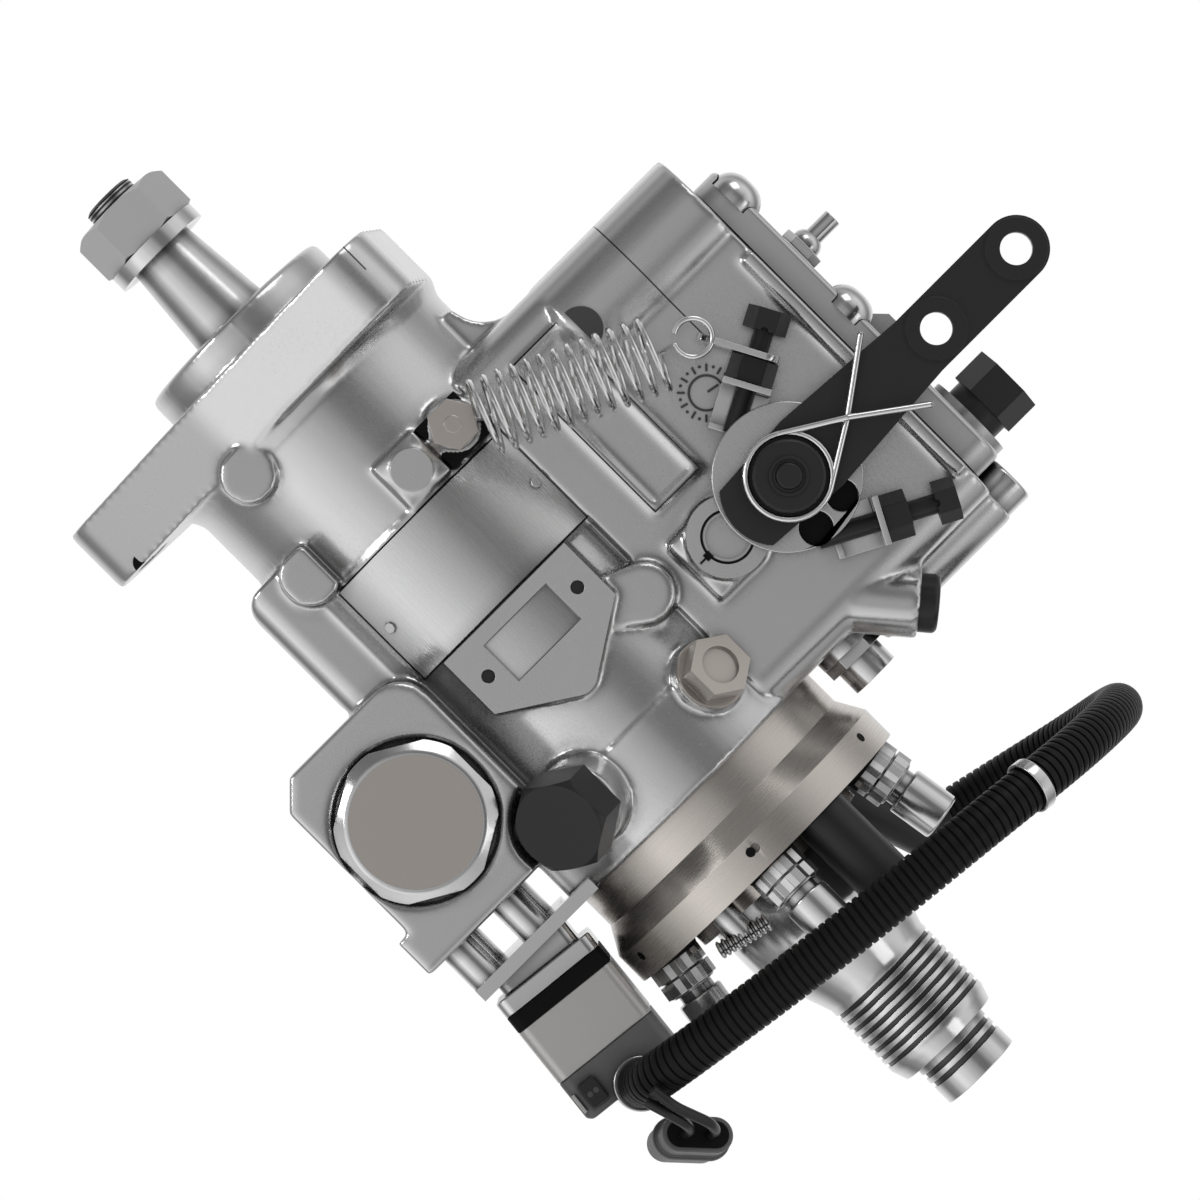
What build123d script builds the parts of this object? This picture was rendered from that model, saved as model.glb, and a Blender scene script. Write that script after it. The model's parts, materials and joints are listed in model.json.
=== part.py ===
from build123d import *
import math
import os

# Rotary diesel injection pump. The origin is the centre of the flange's mounting face on the shaft
# axis, +X runs from the drive end to the fuel inlet, +Z is up to the throttle, -Y is the lever side.
# Every size is in millimetres.

# Running and seating clearances
RUN_GAP = 0.1
SEAT_GAP = 0.05
AIR_GAP = 0.3

# Drive shaft, nut and washer
SHAFT_THREAD_RADIUS = 7.0
SHAFT_THREAD_TIP = 3.5
SHAFT_NUT_FLATS = 25.0
SHAFT_NUT_LENGTH = 12.5
SHAFT_NUT_BEVEL = 2.0
SHAFT_NUT_CORNER = 2.4
SHAFT_NUT_REAR_STEP = 0.6
SHAFT_THREAD_BEVEL = 1.0
SHAFT_WASHER_RADIUS = 13.5
SHAFT_WASHER_LENGTH = 4.0
TAPER_START_X = -34.0
TAPER_END_X = -9.5
TAPER_SMALL_RADIUS = 8.9
JOURNAL_RADIUS = 11.1
SHAFT_TANG_LENGTH = 6.0
SHAFT_TANG_WIDTH = 9.0

# Mounting flange and pilot
PILOT_RADIUS = 28.5
PILOT_LENGTH = 9.25
FLANGE_THICKNESS = 18.0
FLANGE_BOLT_CIRCLE = 111.0
FLANGE_EAR_RADIUS = 11.0
FLANGE_HOLE_RADIUS = 5.3
FLANGE_HUB_STEP = 2.0
FLANGE_FIRST_EAR_ANGLE = -90.0
FLANGE_EARS = 3

# Housing barrel and its cavities
BARREL_RADIUS = 41.0
FLANGE_HUB_RADIUS = BARREL_RADIUS + FLANGE_HUB_STEP
FLANGE_BLEND_LENGTH = 4.0
BARREL_STEP_X = 132.0
BARREL_STEP = 1.0
HOUSING_END_X = 154.2
CAVITY_RADIUS = 34.1
CAVITY_START_X = 26.0
SPIGOT_RADIUS = 35.7
SUMP_START_X = 43.0
SUMP_END_X = 84.0
SUMP_BOTTOM_Z = -48.0
SUMP_HALF_WIDTH = 24.0
SUMP_CORNER = 6.0
SEAL_BORE_RADIUS = 19.0
SEAL_LENGTH = 7.0
BEARING_RADIUS = 20.0
BEARING_LENGTH = 14.0

# Governor housing on top of the barrel
GOVERNOR_START_X = 38.5
GOVERNOR_END_X = 154.0
GOVERNOR_HALF_WIDTH = 33.0
GOVERNOR_TOP_Z = 103.0
GOVERNOR_FLOOR_Z = 28.5
GOVERNOR_CORNER = 9.0
GOVERNOR_WALL = 5.0
CHAMBER_FLOOR_Z = 26.0
CHAMBER_CORNER = 6.0
RIM_HEIGHT = 3.5
RIM_PROUD = 1.6
COLUMN_X = 54.0
COLUMN_RADIUS = 16.0
COLUMN_PROUD = 3.5
COLUMN_FOOT_Z = 58.0
REAR_COLUMN_END_X = 162.5
REAR_COLUMN_HALF_WIDTH = 14.0
REAR_COLUMN_FOOT_Z = 60.0
FRAME_START_X = 48.6
FRAME_END_X = 99.0
FRAME_LOW_Z = 40.7
FRAME_HIGH_Z = 56.4
FRAME_BORDER = 1.5
FRAME_PROUD = 1.2
PARTING_Z = 36.0
NECK_RADIUS = 11.0

# Governor cover and what stands on it
GASKET_THICKNESS = 0.5
COVER_THICKNESS = 7.5
COVER_START_X = 49.5
COVER_END_X = 149.0
COVER_HALF_WIDTH = 30.0
COVER_CORNER = 8.0
COVER_EDGE_ROUNDING = 1.5
COVER_SCREW_SINK = 3.0
COVER_BOSS_X = 137.5
COVER_BOSS_RADIUS = 11.5
COVER_BOSS_HEIGHT = 3.0
COVER_SCREW_XS = (58.0, 97.0)
COVER_SCREW_Y = 24.0
COVER_SCREW_RADIUS = 7.0
COVER_SCREW_HEIGHT = 7.0
CAP_SCREW_X = 155.5
CAP_SCREW_RADIUS = 6.5
CAP_SCREW_HEIGHT = 7.5
TERMINAL_X = 78.0
TERMINAL_STUD_RADIUS = 2.4
TERMINAL_STUD_LENGTH = 9.8
TERMINAL_THREAD_RADIUS = 2.9
TERMINAL_BASE_HEIGHT = 1.5
TERMINAL_NUT_HEIGHT = 2.5
TERMINAL_BASE_FLATS = 11.2
TERMINAL_NUT_FLATS = 10.0
RETURN_FITTING_SHANK_RADIUS = 8.0
RETURN_FITTING_SHANK_HEIGHT = 4.0
RETURN_FITTING_FLATS = 16.5
RETURN_FITTING_HEAD_HEIGHT = 9.5
RETURN_FITTING_BORE_RADIUS = 3.0
SLOPED_BOSS_X = 105.0
SLOPED_BOSS_HEIGHT = 6.0
SLOPED_BOSS_RISE = 14.0
SLOPED_BOSS_TOP = 12.0
SLOPED_BOSS_FALL = 3.0
SLOPED_BOSS_NEAR_REACH = 12.0
SLOPED_BOSS_FAR_REACH = 16.0
COIL_RADIUS = 9.0
COIL_LENGTH = 26.0
COIL_Z = 88.0
COIL_FAR_REACH = 6.0
COIL_HANGER_HALF = 5.0
COIL_HANGER_HALF_DEPTH = 3.0

# Side plate, timing window cover and lugs on the barrel
PLATE_START_X = 58.0
PLATE_END_X = 88.0
PLATE_HALF_ANGLE = 41.5
PLATE_THICKNESS = 0.8
PLATE_PAD_HEIGHT = 1.0
PLATE_PAD_MARGIN = 1.3
PLATE_SCREW_RADIUS = 1.7
PLATE_SCREW_HEIGHT = 0.9
PLATE_SCREW_MARGIN_ANGLE = 6.0
WINDOW_START_X = 88.4
WINDOW_SHOULDER_X = 106.0
WINDOW_END_X = 118.4
WINDOW_LOW_Z = -21.8
WINDOW_HIGH_Z = 19.7
WINDOW_APEX_Z = -1.0
WINDOW_PROUD = 5.0
WINDOW_FACE_Y = BARREL_RADIUS + WINDOW_PROUD
WINDOW_COVER_THICKNESS = 2.5
WINDOW_RECESS_DEPTH = 1.2
WINDOW_RECESS_START_X = 92.3
WINDOW_RECESS_END_X = 104.5
WINDOW_RECESS_LOW_Z = -12.0
WINDOW_RECESS_HIGH_Z = 9.7
WINDOW_SCREW_SINK = 1.0
WINDOW_SCREW_HEIGHT = 0.6
WINDOW_APEX_ROUNDING = 5.0
WINDOW_SCREW_X = 98.4
WINDOW_SCREW_ZS = (14.3, -16.4)
WINDOW_SCREW_RADIUS = 1.7
TEARDROP_X = 111.0
TEARDROP_Z = 25.0
TEARDROP_RADIUS = 7.6
TEARDROP_DEPTH = 4.0
SQUARE_PAD_X = 49.5
SQUARE_PAD_Z = 6.0
SQUARE_PAD_SIZE = 13.6
SQUARE_PAD_PROUD = 2.0
SQUARE_PAD_FACE_Y = BARREL_RADIUS + SQUARE_PAD_PROUD
SQUARE_PAD_DISC_RADIUS = 5.4
SQUARE_PAD_DISC_HEIGHT = 1.0
ANCHOR_BOLT_X = 49.3
ANCHOR_BOLT_Z = 20.9
ANCHOR_BOLT_FLATS = 11.2
ANCHOR_BOLT_HEAD = 5.0
ANCHOR_BOLT_COLLAR = 9.0
ANCHOR_BOSS_RADIUS = 7.5
ANCHOR_BOSS_FACE_Y = BARREL_RADIUS
ANCHOR_BOLT_SEAT = 2.0
ANCHOR_HEAD_GAP = 2.0
HALF_MOON_X = 50.0
HALF_MOON_Z = -30.0
HALF_MOON_RADIUS = 7.5
HALF_MOON_DEPTH = 2.0
FRONT_BOSS_X = 22.0
FRONT_BOSS_Z = -23.3
FRONT_BOSS_RADIUS = 7.0
FRONT_BOSS_DEPTH = 2.0
FRONT_BOSS_FACE_Y = BARREL_RADIUS - FRONT_BOSS_DEPTH

# Hex bolt and hex plug on the barrel beside the head
SIDE_BOLT_X = 136.4
SIDE_BOLT_ANGLE = 30.0
SIDE_BOLT_FLATS = 14.5
SIDE_BOLT_HEIGHT = 7.5
SIDE_BOLT_WASHER_RADIUS = 9.0
SIDE_PLUG_ANGLE = -29.5
SIDE_PLUG_FLATS = 22.0
SIDE_PLUG_HEIGHT = 11.5
SIDE_PLUG_SPOT_RADIUS = 13.5
SIDE_BOSS_RADIUS = 11.5
SIDE_BOSS_PROUD = 9.0
SIDE_BOSS_REACH = BARREL_RADIUS + SIDE_BOSS_PROUD
SIDE_BOLT_BOSS_PROUD = 3.0
SIDE_BOLT_BOSS_REACH = BARREL_RADIUS + SIDE_BOLT_BOSS_PROUD
SIDE_BOLT_SPOT_RADIUS = 9.8
SIDE_BOLT_WASHER_HEIGHT = 1.5
SIDE_BOLT_RIM = 2.5
SIDE_BOLT_DISH = 1.0

# Advance cylinder below the barrel
ADVANCE_X = 111.0
ADVANCE_Z = -53.8
ADVANCE_START_X = 81.5
ADVANCE_END_X = 140.0
ADVANCE_BOTTOM_Z = -74.5
ADVANCE_TOP_Z = -30.0
ADVANCE_HALF_WIDTH = 47.0
ADVANCE_CORNER = 9.0
ADVANCE_CHAMFER = 6.5
ADVANCE_BORE_RADIUS = 13.0
ADVANCE_PISTON_HALF = 22.0
ADVANCE_PLUG_INNER_Y = 35.0
ADVANCE_RECESS_RADIUS = 20.5
ADVANCE_RECESS_DEPTH = 2.0
ADVANCE_PLUG_FLATS = 38.0
ADVANCE_PLUG_HEAD = 6.5
ADVANCE_PLUG_FACE_RADIUS = 16.5
ADVANCE_PLUG_HEAD_RADIUS = 20.2
ADVANCE_PLUG_BEVEL_SLOPE = 1.6
ADVANCE_LUG_START_X = 129.0
ADVANCE_LUG_DROP = 3.5
CAM_PIN_RADIUS = 4.0
CAM_PIN_PLAY = 0.7
CAM_PIN_DEPTH = 8.0
CAM_PIN_BORE_RADIUS = 9.0

# Cam ring and pumping plungers
CAM_LENGTH = 18.0
CAM_START_X = ADVANCE_X - CAM_LENGTH / 2
CAM_END_X = ADVANCE_X + CAM_LENGTH / 2
CAM_TO_SPIGOT = 6.0
SPIGOT_START_X = CAM_END_X + CAM_TO_SPIGOT
CAM_VALLEY_RADIUS = 26.0
CAM_LOBE_HEIGHT = 1.2
CAM_LOBE_HALF_ANGLE = 8.0
CAM_LOBES = 4
ROLLER_RADIUS = 4.0
PLUNGER_RADIUS = 5.0
PLUNGER_INNER = 2.5
SHOE_INNER = 12.5
SHOE_OUTER = 19.0
SHOE_WIDTH = 8.6
SHOE_LENGTH = 11.0

# Rotor and hydraulic head
ROTOR_DRUM_INSET = 1.0
ROTOR_DRUM_START_X = CAM_START_X + ROTOR_DRUM_INSET
ROTOR_DRUM_END_X = CAM_END_X - ROTOR_DRUM_INSET
ROTOR_DRUM_RADIUS = 22.0
ROTOR_HUB_RADIUS = 14.0
ROTOR_HUB_LENGTH = 11.7
ROTOR_HUB_START_X = ROTOR_DRUM_START_X - ROTOR_HUB_LENGTH
ROTOR_RADIUS = 9.5
ROTOR_END_X = 196.0
ROTOR_SLOT_DEPTH = 6.5
HEAD_RADIUS = 39.6
HEAD_CONE_START_X = 163.8
HEAD_CONE_END_X = 170.8
HEAD_RING_RADIUS = 43.6
HEAD_RING_END_X = 179.5
HEAD_RING_HOLE_X = 174.0
HEAD_RING_HOLE_RADIUS = 1.2
HEAD_RING_HOLE_DEPTH = 4.0
HEAD_RING_HOLES = 4
HEAD_REAR_BOSS_RADIUS = 26.5
HEAD_REAR_BOSS_END_X = 184.0
SEAL_RING_RADIUS = 1.6
SEAL_RING_INSET = 10.0
SEAL_GROOVE_PLAY = 0.2

# End cap with the fuel inlet, and the transfer pump inside it
CAP_RADIUS = 22.75
CAP_END_X = 198.0
CAP_NECK_X = 218.0
INLET_RADIUS = 15.75
INLET_RINGS_START_X = 220.0
INLET_RINGS_END_X = 239.5
INLET_RINGS = 8
INLET_RING_DEPTH = 0.8
INLET_CONE_END_X = 243.5
INLET_CONE_RADIUS = 14.4
STUB_RADIUS = 11.0
STUB_END_X = 255.25
STUB_GROOVE_XS = (245.6, 248.5)
STUB_GROOVE_WIDTH = 1.4
STUB_GROOVE_DEPTH = 0.9
INLET_RING_GROOVE_SHARE = 0.45
INLET_BORE_RADIUS = 6.5
INLET_BORE_DEPTH = 32.0
PUMP_END_PLAY = 0.5
LINER_RADIUS = 17.0
LINER_BORE_RADIUS = 12.5
LINER_OFFSET = 1.2
BLADE_THICKNESS = 2.4
BLADE_REACH = 10.9
BLADE_INNER_RADIUS = 3.0
REGULATOR_RADIUS = 5.0
REGULATOR_LENGTH = 11.0
REGULATOR_GAP = 1.0

# Discharge fittings, sleeves and solenoids on the head
FITTING_CIRCLE_RADIUS = 34.0
FITTING_ANGLES = (0.0, 90.0, 180.0, 270.0)
FITTING_TILT = 9.0
FITTING_SEAL_RADIUS = 7.2
FITTING_SEAL_LENGTH = 2.5
FITTING_FLATS = 13.5
FITTING_HEX_LENGTH = 4.4
FITTING_HEX_GROOVE = 0.4
FITTING_BORE_DEPTH = 4.0
FITTING_NECK_RADIUS = 4.8
FITTING_NECK_LENGTH = 2.0
SLEEVE_RADIUS = 6.2
SLEEVE_LENGTH = 12.0
SLEEVE_BORE_RADIUS = 2.2
SOLENOID_RADIUS = 7.3
SOLENOID_LENGTH = 23.0
FAR_SOLENOID_SINK = 2.0
NEAR_SOLENOID_ANGLE = 30.0
FAR_SOLENOID_ANGLE = 135.0
KNURL_ANGLE = -30.0
KNURL_RADIUS = 4.6
KNURL_LENGTH = 17.0

# Throttle: reaches are measured from the shaft axis plane towards the lever side
PIVOT_X = 115.6
PIVOT_Z = 69.4
THROTTLE_BOSS_RADIUS = 10.8
THROTTLE_BOSS_REACH = 40.0
THROTTLE_SHAFT_RADIUS = 5.0
THROTTLE_SHAFT_INNER_REACH = 20.0
THROTTLE_PLATE_RADIUS = 18.5
THROTTLE_PLATE_REACH = 47.5
THROTTLE_PLATE_THICKNESS = 1.8
THROTTLE_PLATE_HOLES = ((12.5, 6.3, 3.9), (13.7, -3.8, 4.2))
THROTTLE_LUG_LENGTH = 4.5
THROTTLE_LUG_INNER_RADIUS = 13.0
THROTTLE_LUG_OUTER_RADIUS = 17.0
THROTTLE_TRAVEL = 20.0
STOP_MARGIN = 2.0
LEVER_REACH = 56.0
LEVER_THICKNESS = 4.0
LEVER_LOWER_HOLE = 50.5
LEVER_UPPER_HOLE = 77.8
LEVER_HOLE_RADIUS = 4.0
LEVER_HOLE_BOSS_RADIUS = 7.7
LEVER_HOLE_BOSS_PROUD = 0.6
LEVER_TOP_RADIUS = 8.2
LEVER_WIDE_HALF = 10.8
LEVER_FOOT_HALF = 9.2
LEVER_FOOT_DROP = 14.5
LEVER_FOOT_SAG = 3.5
LEVER_WIDE_HEIGHT = 8.0
LEVER_WAIST_DROP = 6.0
HUB_ROUNDING = 1.0
HUB_RADIUS = 9.0
HUB_THICKNESS = 3.5
HUB_CENTRE_RADIUS = 3.2
HUB_CENTRE_HEIGHT = 1.2
SPACER_RADIUS = 7.5
WIRE_RADIUS = 0.6
WIRE_RING_RADIUS = 10.4
WIRE_HOOK_HEIGHT = 36.5
WIRE_LIFT = 1.0
WIRE_CROSSING_HEIGHT = 20.0
WIRE_START_TURN = 30.0

# Throttle stops: screw heads and nuts beside the lever, in sheet metal brackets on the wall
LOW_STOP_HEAD = (85.15, 93.0)
LOW_STOP_NUT = (91.15, 81.7)
HIGH_STOP_HEAD = (147.1, 93.0)
HIGH_STOP_NUT = (141.1, 81.7)
STOP_SCREW_REACH = 43.0
STOP_SCREW_RADIUS = 2.5
STOP_TIP_RADIUS = 17.0
STOP_HEAD_FLATS = 9.5
STOP_HEAD_LENGTH = 5.5
STOP_HEAD_HOLE_RADIUS = 0.9
STOP_NUT_FLATS = 10.5
STOP_NUT_LENGTH = 6.5
BRACKET_THICKNESS = 1.6
BRACKET_WIDTH = 12.5
BRACKET_HEIGHT = 13.0
BRACKET_TOP_REACH = 50.0
BRACKET_FOOT_REACH = 39.5
STRAP_THICKNESS = 1.6
STRAP_LENGTH = 21.0
STRAP_HALF_WIDTH = 5.5
STRAP_HOLE_MARGIN = 3.0
STRAP_RING_RADIUS = 4.7
STRAP_HOLE_RADIUS = 1.6

# Return spring between the anchor bolt and the strap
SPRING_LOW = (52.6, 26.2)
SPRING_HIGH = (72.2, 68.9)
SPRING_REACH = 52.5
SPRING_TURNS = 13
SPRING_RADIUS = 9.4
SPRING_WIRE_RADIUS = 0.62

# Snap ring plug under the lever, the angled plug and the side fitting
SNAP_PAD_START_X = 106.7
SNAP_PAD_END_X = 125.6
SNAP_PAD_LOW_Z = 36.8
SNAP_PAD_HIGH_Z = 52.0
SNAP_PAD_REACH = 38.0
SNAP_CENTRE_Z = 49.0
SNAP_BOSS_RADIUS = 10.3
SNAP_BOSS_REACH = 41.0
SNAP_RING_RADIUS = 6.6
SNAP_RING_WIDTH = 1.1
SNAP_RING_THICKNESS = 0.8
SNAP_RING_GAP = 2.0
SNAP_PLUG_SINK = 1.0
SNAP_PLUG_DEPTH = 6.0
ANGLED_BOSS_START = (141.0, 54.9)
ANGLED_BOSS_END = (160.6, 71.3)
ANGLED_BOSS_Y = -23.5
ANGLED_BOSS_RADIUS = 9.0
ANGLED_PLUG_RADIUS = 7.35
ANGLED_PLUG_HEIGHT = 4.8
ANGLED_PLUG_ROUNDING = 1.5
SIDE_FITTING_Y = -7.0
SIDE_FITTING_Z = 51.3
SIDE_FITTING_FLANGE_RADIUS = 8.5
SIDE_FITTING_FLATS = 14.5
SIDE_FITTING_CAP_RADIUS = 6.5
SIDE_FITTING_STEPS = (154.0, 157.0, 160.0, 166.3)
SIDE_FITTING_CAP_RIM = 2.0

# Governor inside the housing
ARM_PIVOT_X = 50.0
ARM_PIVOT_Z = 42.0
ARM_THICKNESS = 3.0
ARM_TOP_Z = 78.0
ARM_FOOT_Z = -8.0
ARM_HALF_WIDTH = 18.0
ARM_FORK_GAP = 13.0
ARM_PAD_RADIUS = 2.0
ARM_PAD_OFFSET = 1.0
ARM_BOSS_HEIGHT = 5.0
ARM_STEM_HALF_WIDTH = 8.0
ARM_PIN_RADIUS = 2.5
SLEEVE_START_X = ARM_PIVOT_X + ARM_PAD_OFFSET + ARM_PAD_RADIUS + AIR_GAP
SLEEVE_TUBE_RADIUS = 12.6
SLEEVE_FLANGE_RADIUS = 14.5
SLEEVE_FLANGE_LENGTH = 3.0
SLEEVE_FRONT_RADIUS = 17.0
WEIGHTS = 4
CAGE_LUG_REACH = 7.3
WEIGHT_PIVOT_X = ROTOR_HUB_START_X - CAGE_LUG_REACH
WEIGHT_PIVOT_RADIUS = 25.0
WEIGHT_PIN_RADIUS = 1.5
WEIGHT_HALF_WIDTH = 6.5
WEIGHT_LENGTH = 18.0
WEIGHT_PIVOT_INSET = 2.0
WEIGHT_END_X = WEIGHT_PIVOT_X - WEIGHT_PIVOT_INSET
WEIGHT_START_X = WEIGHT_END_X - WEIGHT_LENGTH
SLEEVE_REAR_X = WEIGHT_END_X - AIR_GAP
WEIGHT_INNER_RADIUS = 16.5
WEIGHT_OUTER_RADIUS = 26.5
WEIGHT_TOE_RADIUS = 12.9
WEIGHT_TOE_LENGTH = 4.0
WEIGHT_TOE_INSET = 2.0
CAGE_LUG_MARGIN = 2.0
CAGE_DISC_RADIUS = 30.0
CAGE_DISC_THICKNESS = 3.0
CAGE_LUG_THICKNESS = 2.6
METERING_INSET = 5.0
METERING_X = SPIGOT_START_X + METERING_INSET
METERING_Y = -12.0
METERING_RADIUS = 4.0
METERING_LOW_Z = 10.0
METERING_ARM_Z = 38.5
METERING_ARM_LENGTH = 11.0
METERING_ARM_HALF_WIDTH = 3.0
METERING_ARM_THICKNESS = 2.0

# Advance actuator behind the advance cylinder, tilted nose down
ACTUATOR_TILT = 6.3
ACTUATOR_X = 154.0
ACTUATOR_Z = -57.8
ACTUATOR_Y = -12.0
ACTUATOR_DEPTH = 34.0
ACTUATOR_HEIGHT = 29.0
ACTUATOR_NECK_HEIGHT = 23.0
ACTUATOR_NECK_DEPTH = 24.0
ACTUATOR_NECK_LENGTH = 4.5
ACTUATOR_BASE_LENGTH = 4.5
ACTUATOR_GASKET_LENGTH = 4.5
ACTUATOR_BODY_LENGTH = 16.0
ACTUATOR_CAP_LENGTH = 12.0
ACTUATOR_CORNER = 3.0
ACTUATOR_CAP_BEVEL = 1.2
SOCKET_LENGTH = 7.0
SOCKET_HEIGHT = 5.0
SOCKET_PROUD = 2.0
SOCKET_INSET = 2.0
SOCKET_ROUNDING = 0.8
BRACKET_PLATE_START_X = 150.5
BRACKET_PLATE_LOW_Z = -73.0
BRACKET_PLATE_HIGH_Z = -44.0
BRACKET_PLATE_NEAR_Y = -44.0
BRACKET_PLATE_FAR_Y = 24.0
BRACKET_EAR_TOP_Z = -34.0
BRACKET_EAR_WIDTH = 12.0
BRACKET_ROD_ZS = (-52.0, -68.7)
BRACKET_ROD_RADIUS = 4.5
BRACKET_ROD_MARGIN = 5.5

# Corrugated conduit, its bands, the two leads and the two pin connector
CONDUIT_RADIUS = 6.0
CONDUIT_ROUTE = (
    (195.7, -31.5, -60.8),
    (195.9, -41.0, -59.6),
    (196.9, -49.5, -51.8),
    (198.6, -53.8, -39.4),
    (201.6, -57.0, -18.0),
    (205.0, -59.5, 10.0),
    (208.5, -58.0, 44.0),
    (212.5, -44.0, 72.5),
    (214.5, -19.0, 88.5),
    (214.7, 6.5, 88.5),
    (213.5, 25.5, 76.5),
    (209.8, 36.0, 58.0),
    (206.0, 37.0, 41.0),
)
LEAD_RADIUS = 1.35
UPPER_LEAD_ROUTE = (
    (197.5, -53.6, -58.9),
    (204.2, -52.4, -58.2),
    (213.5, -46.1, -55.1),
    (216.3, -40.95, -55.55),
    (216.3, -35.85, -57.4),
)
LOWER_LEAD_ROUTE = (
    (198.6, -50.3, -62.3),
    (204.4, -50.55, -60.5),
    (209.4, -47.0, -59.4),
    (211.7, -42.05, -59.85),
    (211.7, -37.35, -61.55),
)
CONNECTOR_PLACE = (214.0, -36.5, -59.5)
CONNECTOR_ACROSS = (0.722, 0.235, 0.65)
CONNECTOR_RUN = (0.0, 0.94, -0.342)
CONNECTOR_WIDTH = 18.0
CONNECTOR_DEPTH = 9.0
CONNECTOR_LENGTH = 16.0
CONNECTOR_RIM = 0.9
CONNECTOR_RIM_START = 6.0
CONNECTOR_RIM_LENGTH = 1.6
BAND_RADIUS = 6.9
BAND_WIDTH = 3.2
END_BAND_WIDTH = 2.5
BOOT_LENGTH = 8.0

ALONG_X = (1, 0, 0)
TOWARDS_LEVER_SIDE = (0, -1, 0)
UPWARD = (0, 0, 1)
FROM_START = (Align.CENTER, Align.CENTER, Align.MIN)


def rod(radius, start, direction, length):
    """A cylinder of a given length from a start point along a direction."""
    frame = Plane(origin=start, z_dir=direction)
    return frame.location * Cylinder(radius, length, align=FROM_START)


def cone(start_radius, end_radius, start, direction, length):
    """A tapered rod from a start point along a direction."""
    frame = Plane(origin=start, z_dir=direction)
    return frame.location * Cone(start_radius, end_radius, length, align=FROM_START)


def rod_x(radius, start_x, end_x, y=0.0, z=0.0):
    """A cylinder along the shaft direction."""
    return rod(radius, (start_x, y, z), ALONG_X, end_x - start_x)


def rod_y(radius, x, z, inner_reach, outer_reach):
    """A cylinder towards the lever side, between two reaches from the shaft's plane."""
    return rod(radius, (x, -inner_reach, z), TOWARDS_LEVER_SIDE, outer_reach - inner_reach)


def rod_z(radius, x, y, low_z, high_z):
    """An upright cylinder."""
    return rod(radius, (x, y, low_z), UPWARD, high_z - low_z)


def hexagon(flats, start, direction, length, corner=None):
    """A hexagonal prism with one corner turned to a given direction."""
    frame = Plane(origin=start, x_dir=corner, z_dir=direction)
    return extrude(frame * RegularPolygon(flats / 2, 6, major_radius=False), length)


def block(start_x, end_x, start_y, end_y, low_z, high_z):
    """A box between its lowest and highest corners."""
    middle = ((start_x + end_x) / 2, (start_y + end_y) / 2, (low_z + high_z) / 2)
    return Pos(*middle) * Box(end_x - start_x, end_y - start_y, high_z - low_z)


def turned(*profile):
    """A body turned about the shaft axis from its outline of (x, radius) points."""
    outline = Polyline(*profile, close=True)
    return revolve(make_face(outline), axis=Axis.X)


def side_slab(outline, inner_reach, outer_reach):
    """A plate of a given (x, z) outline, thick towards the lever side."""
    frame = Plane(origin=(0, -inner_reach, 0), x_dir=ALONG_X, z_dir=TOWARDS_LEVER_SIDE)
    return extrude(frame * outline, outer_reach - inner_reach)


def around(angle):
    """The outward direction at an angle from the lever side up over the top."""
    turn = math.radians(angle)
    return (0, -math.cos(turn), math.sin(turn))


def at_radius(x, radius, angle):
    """A point at a distance from the shaft axis, at an angle from the lever side."""
    out = around(angle)
    return (x, radius * out[1], radius * out[2])


def flange():
    """The mounting flange: three ears drawn tight round the hub, with the pilot in front."""
    step = 360 / FLANGE_EARS
    angles = [math.radians(FLANGE_FIRST_EAR_ANGLE + step * ear) for ear in range(FLANGE_EARS)]
    radius = FLANGE_BOLT_CIRCLE / 2
    centres = [(radius * math.cos(angle), radius * math.sin(angle)) for angle in angles]
    circles = [Pos(*centre) * Circle(FLANGE_EAR_RADIUS) for centre in centres]
    circles.append(Circle(FLANGE_HUB_RADIUS))
    hull = make_hull([edge for circle in circles for edge in circle.edges()])
    frame = Plane(origin=(0, 0, 0), x_dir=(0, 1, 0), z_dir=ALONG_X)
    plate = extrude(frame * hull, FLANGE_THICKNESS)
    for y, z in centres:
        plate -= rod_x(FLANGE_HOLE_RADIUS, -1, FLANGE_THICKNESS + 1, y, z)
    chamfer_width = 1.0
    pilot = turned(
        (-PILOT_LENGTH, 0),
        (-PILOT_LENGTH, PILOT_RADIUS - chamfer_width),
        (chamfer_width - PILOT_LENGTH, PILOT_RADIUS),
        (0, PILOT_RADIUS),
        (0, 0),
    )
    return plate + pilot


def barrel():
    """The round body of the housing, with its step, its sump and its side plate pad."""
    body = rod_x(BARREL_RADIUS, FLANGE_THICKNESS, BARREL_STEP_X)
    body += rod_x(BARREL_RADIUS + BARREL_STEP, BARREL_STEP_X, HOUSING_END_X)
    body += cone(
        FLANGE_HUB_RADIUS, BARREL_RADIUS, (FLANGE_THICKNESS, 0, 0), ALONG_X,
        FLANGE_BLEND_LENGTH,
    )
    sump = block(
        SUMP_START_X, SUMP_END_X, -SUMP_HALF_WIDTH, SUMP_HALF_WIDTH, SUMP_BOTTOM_Z, 0
    )
    low_edges = sump.edges().group_by(Axis.Z)[0]
    sump = fillet(low_edges, SUMP_CORNER)
    pad_radius = BARREL_RADIUS + PLATE_PAD_HEIGHT
    pad_half_height = pad_radius * math.sin(math.radians(PLATE_HALF_ANGLE)) + PLATE_PAD_MARGIN
    pad = rod_x(pad_radius, PLATE_START_X - PLATE_PAD_MARGIN, PLATE_END_X)
    pad &= block(
        PLATE_START_X - PLATE_PAD_MARGIN,
        PLATE_END_X,
        -pad_radius,
        0,
        -pad_half_height,
        pad_half_height,
    )
    return body + sump + pad


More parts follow.
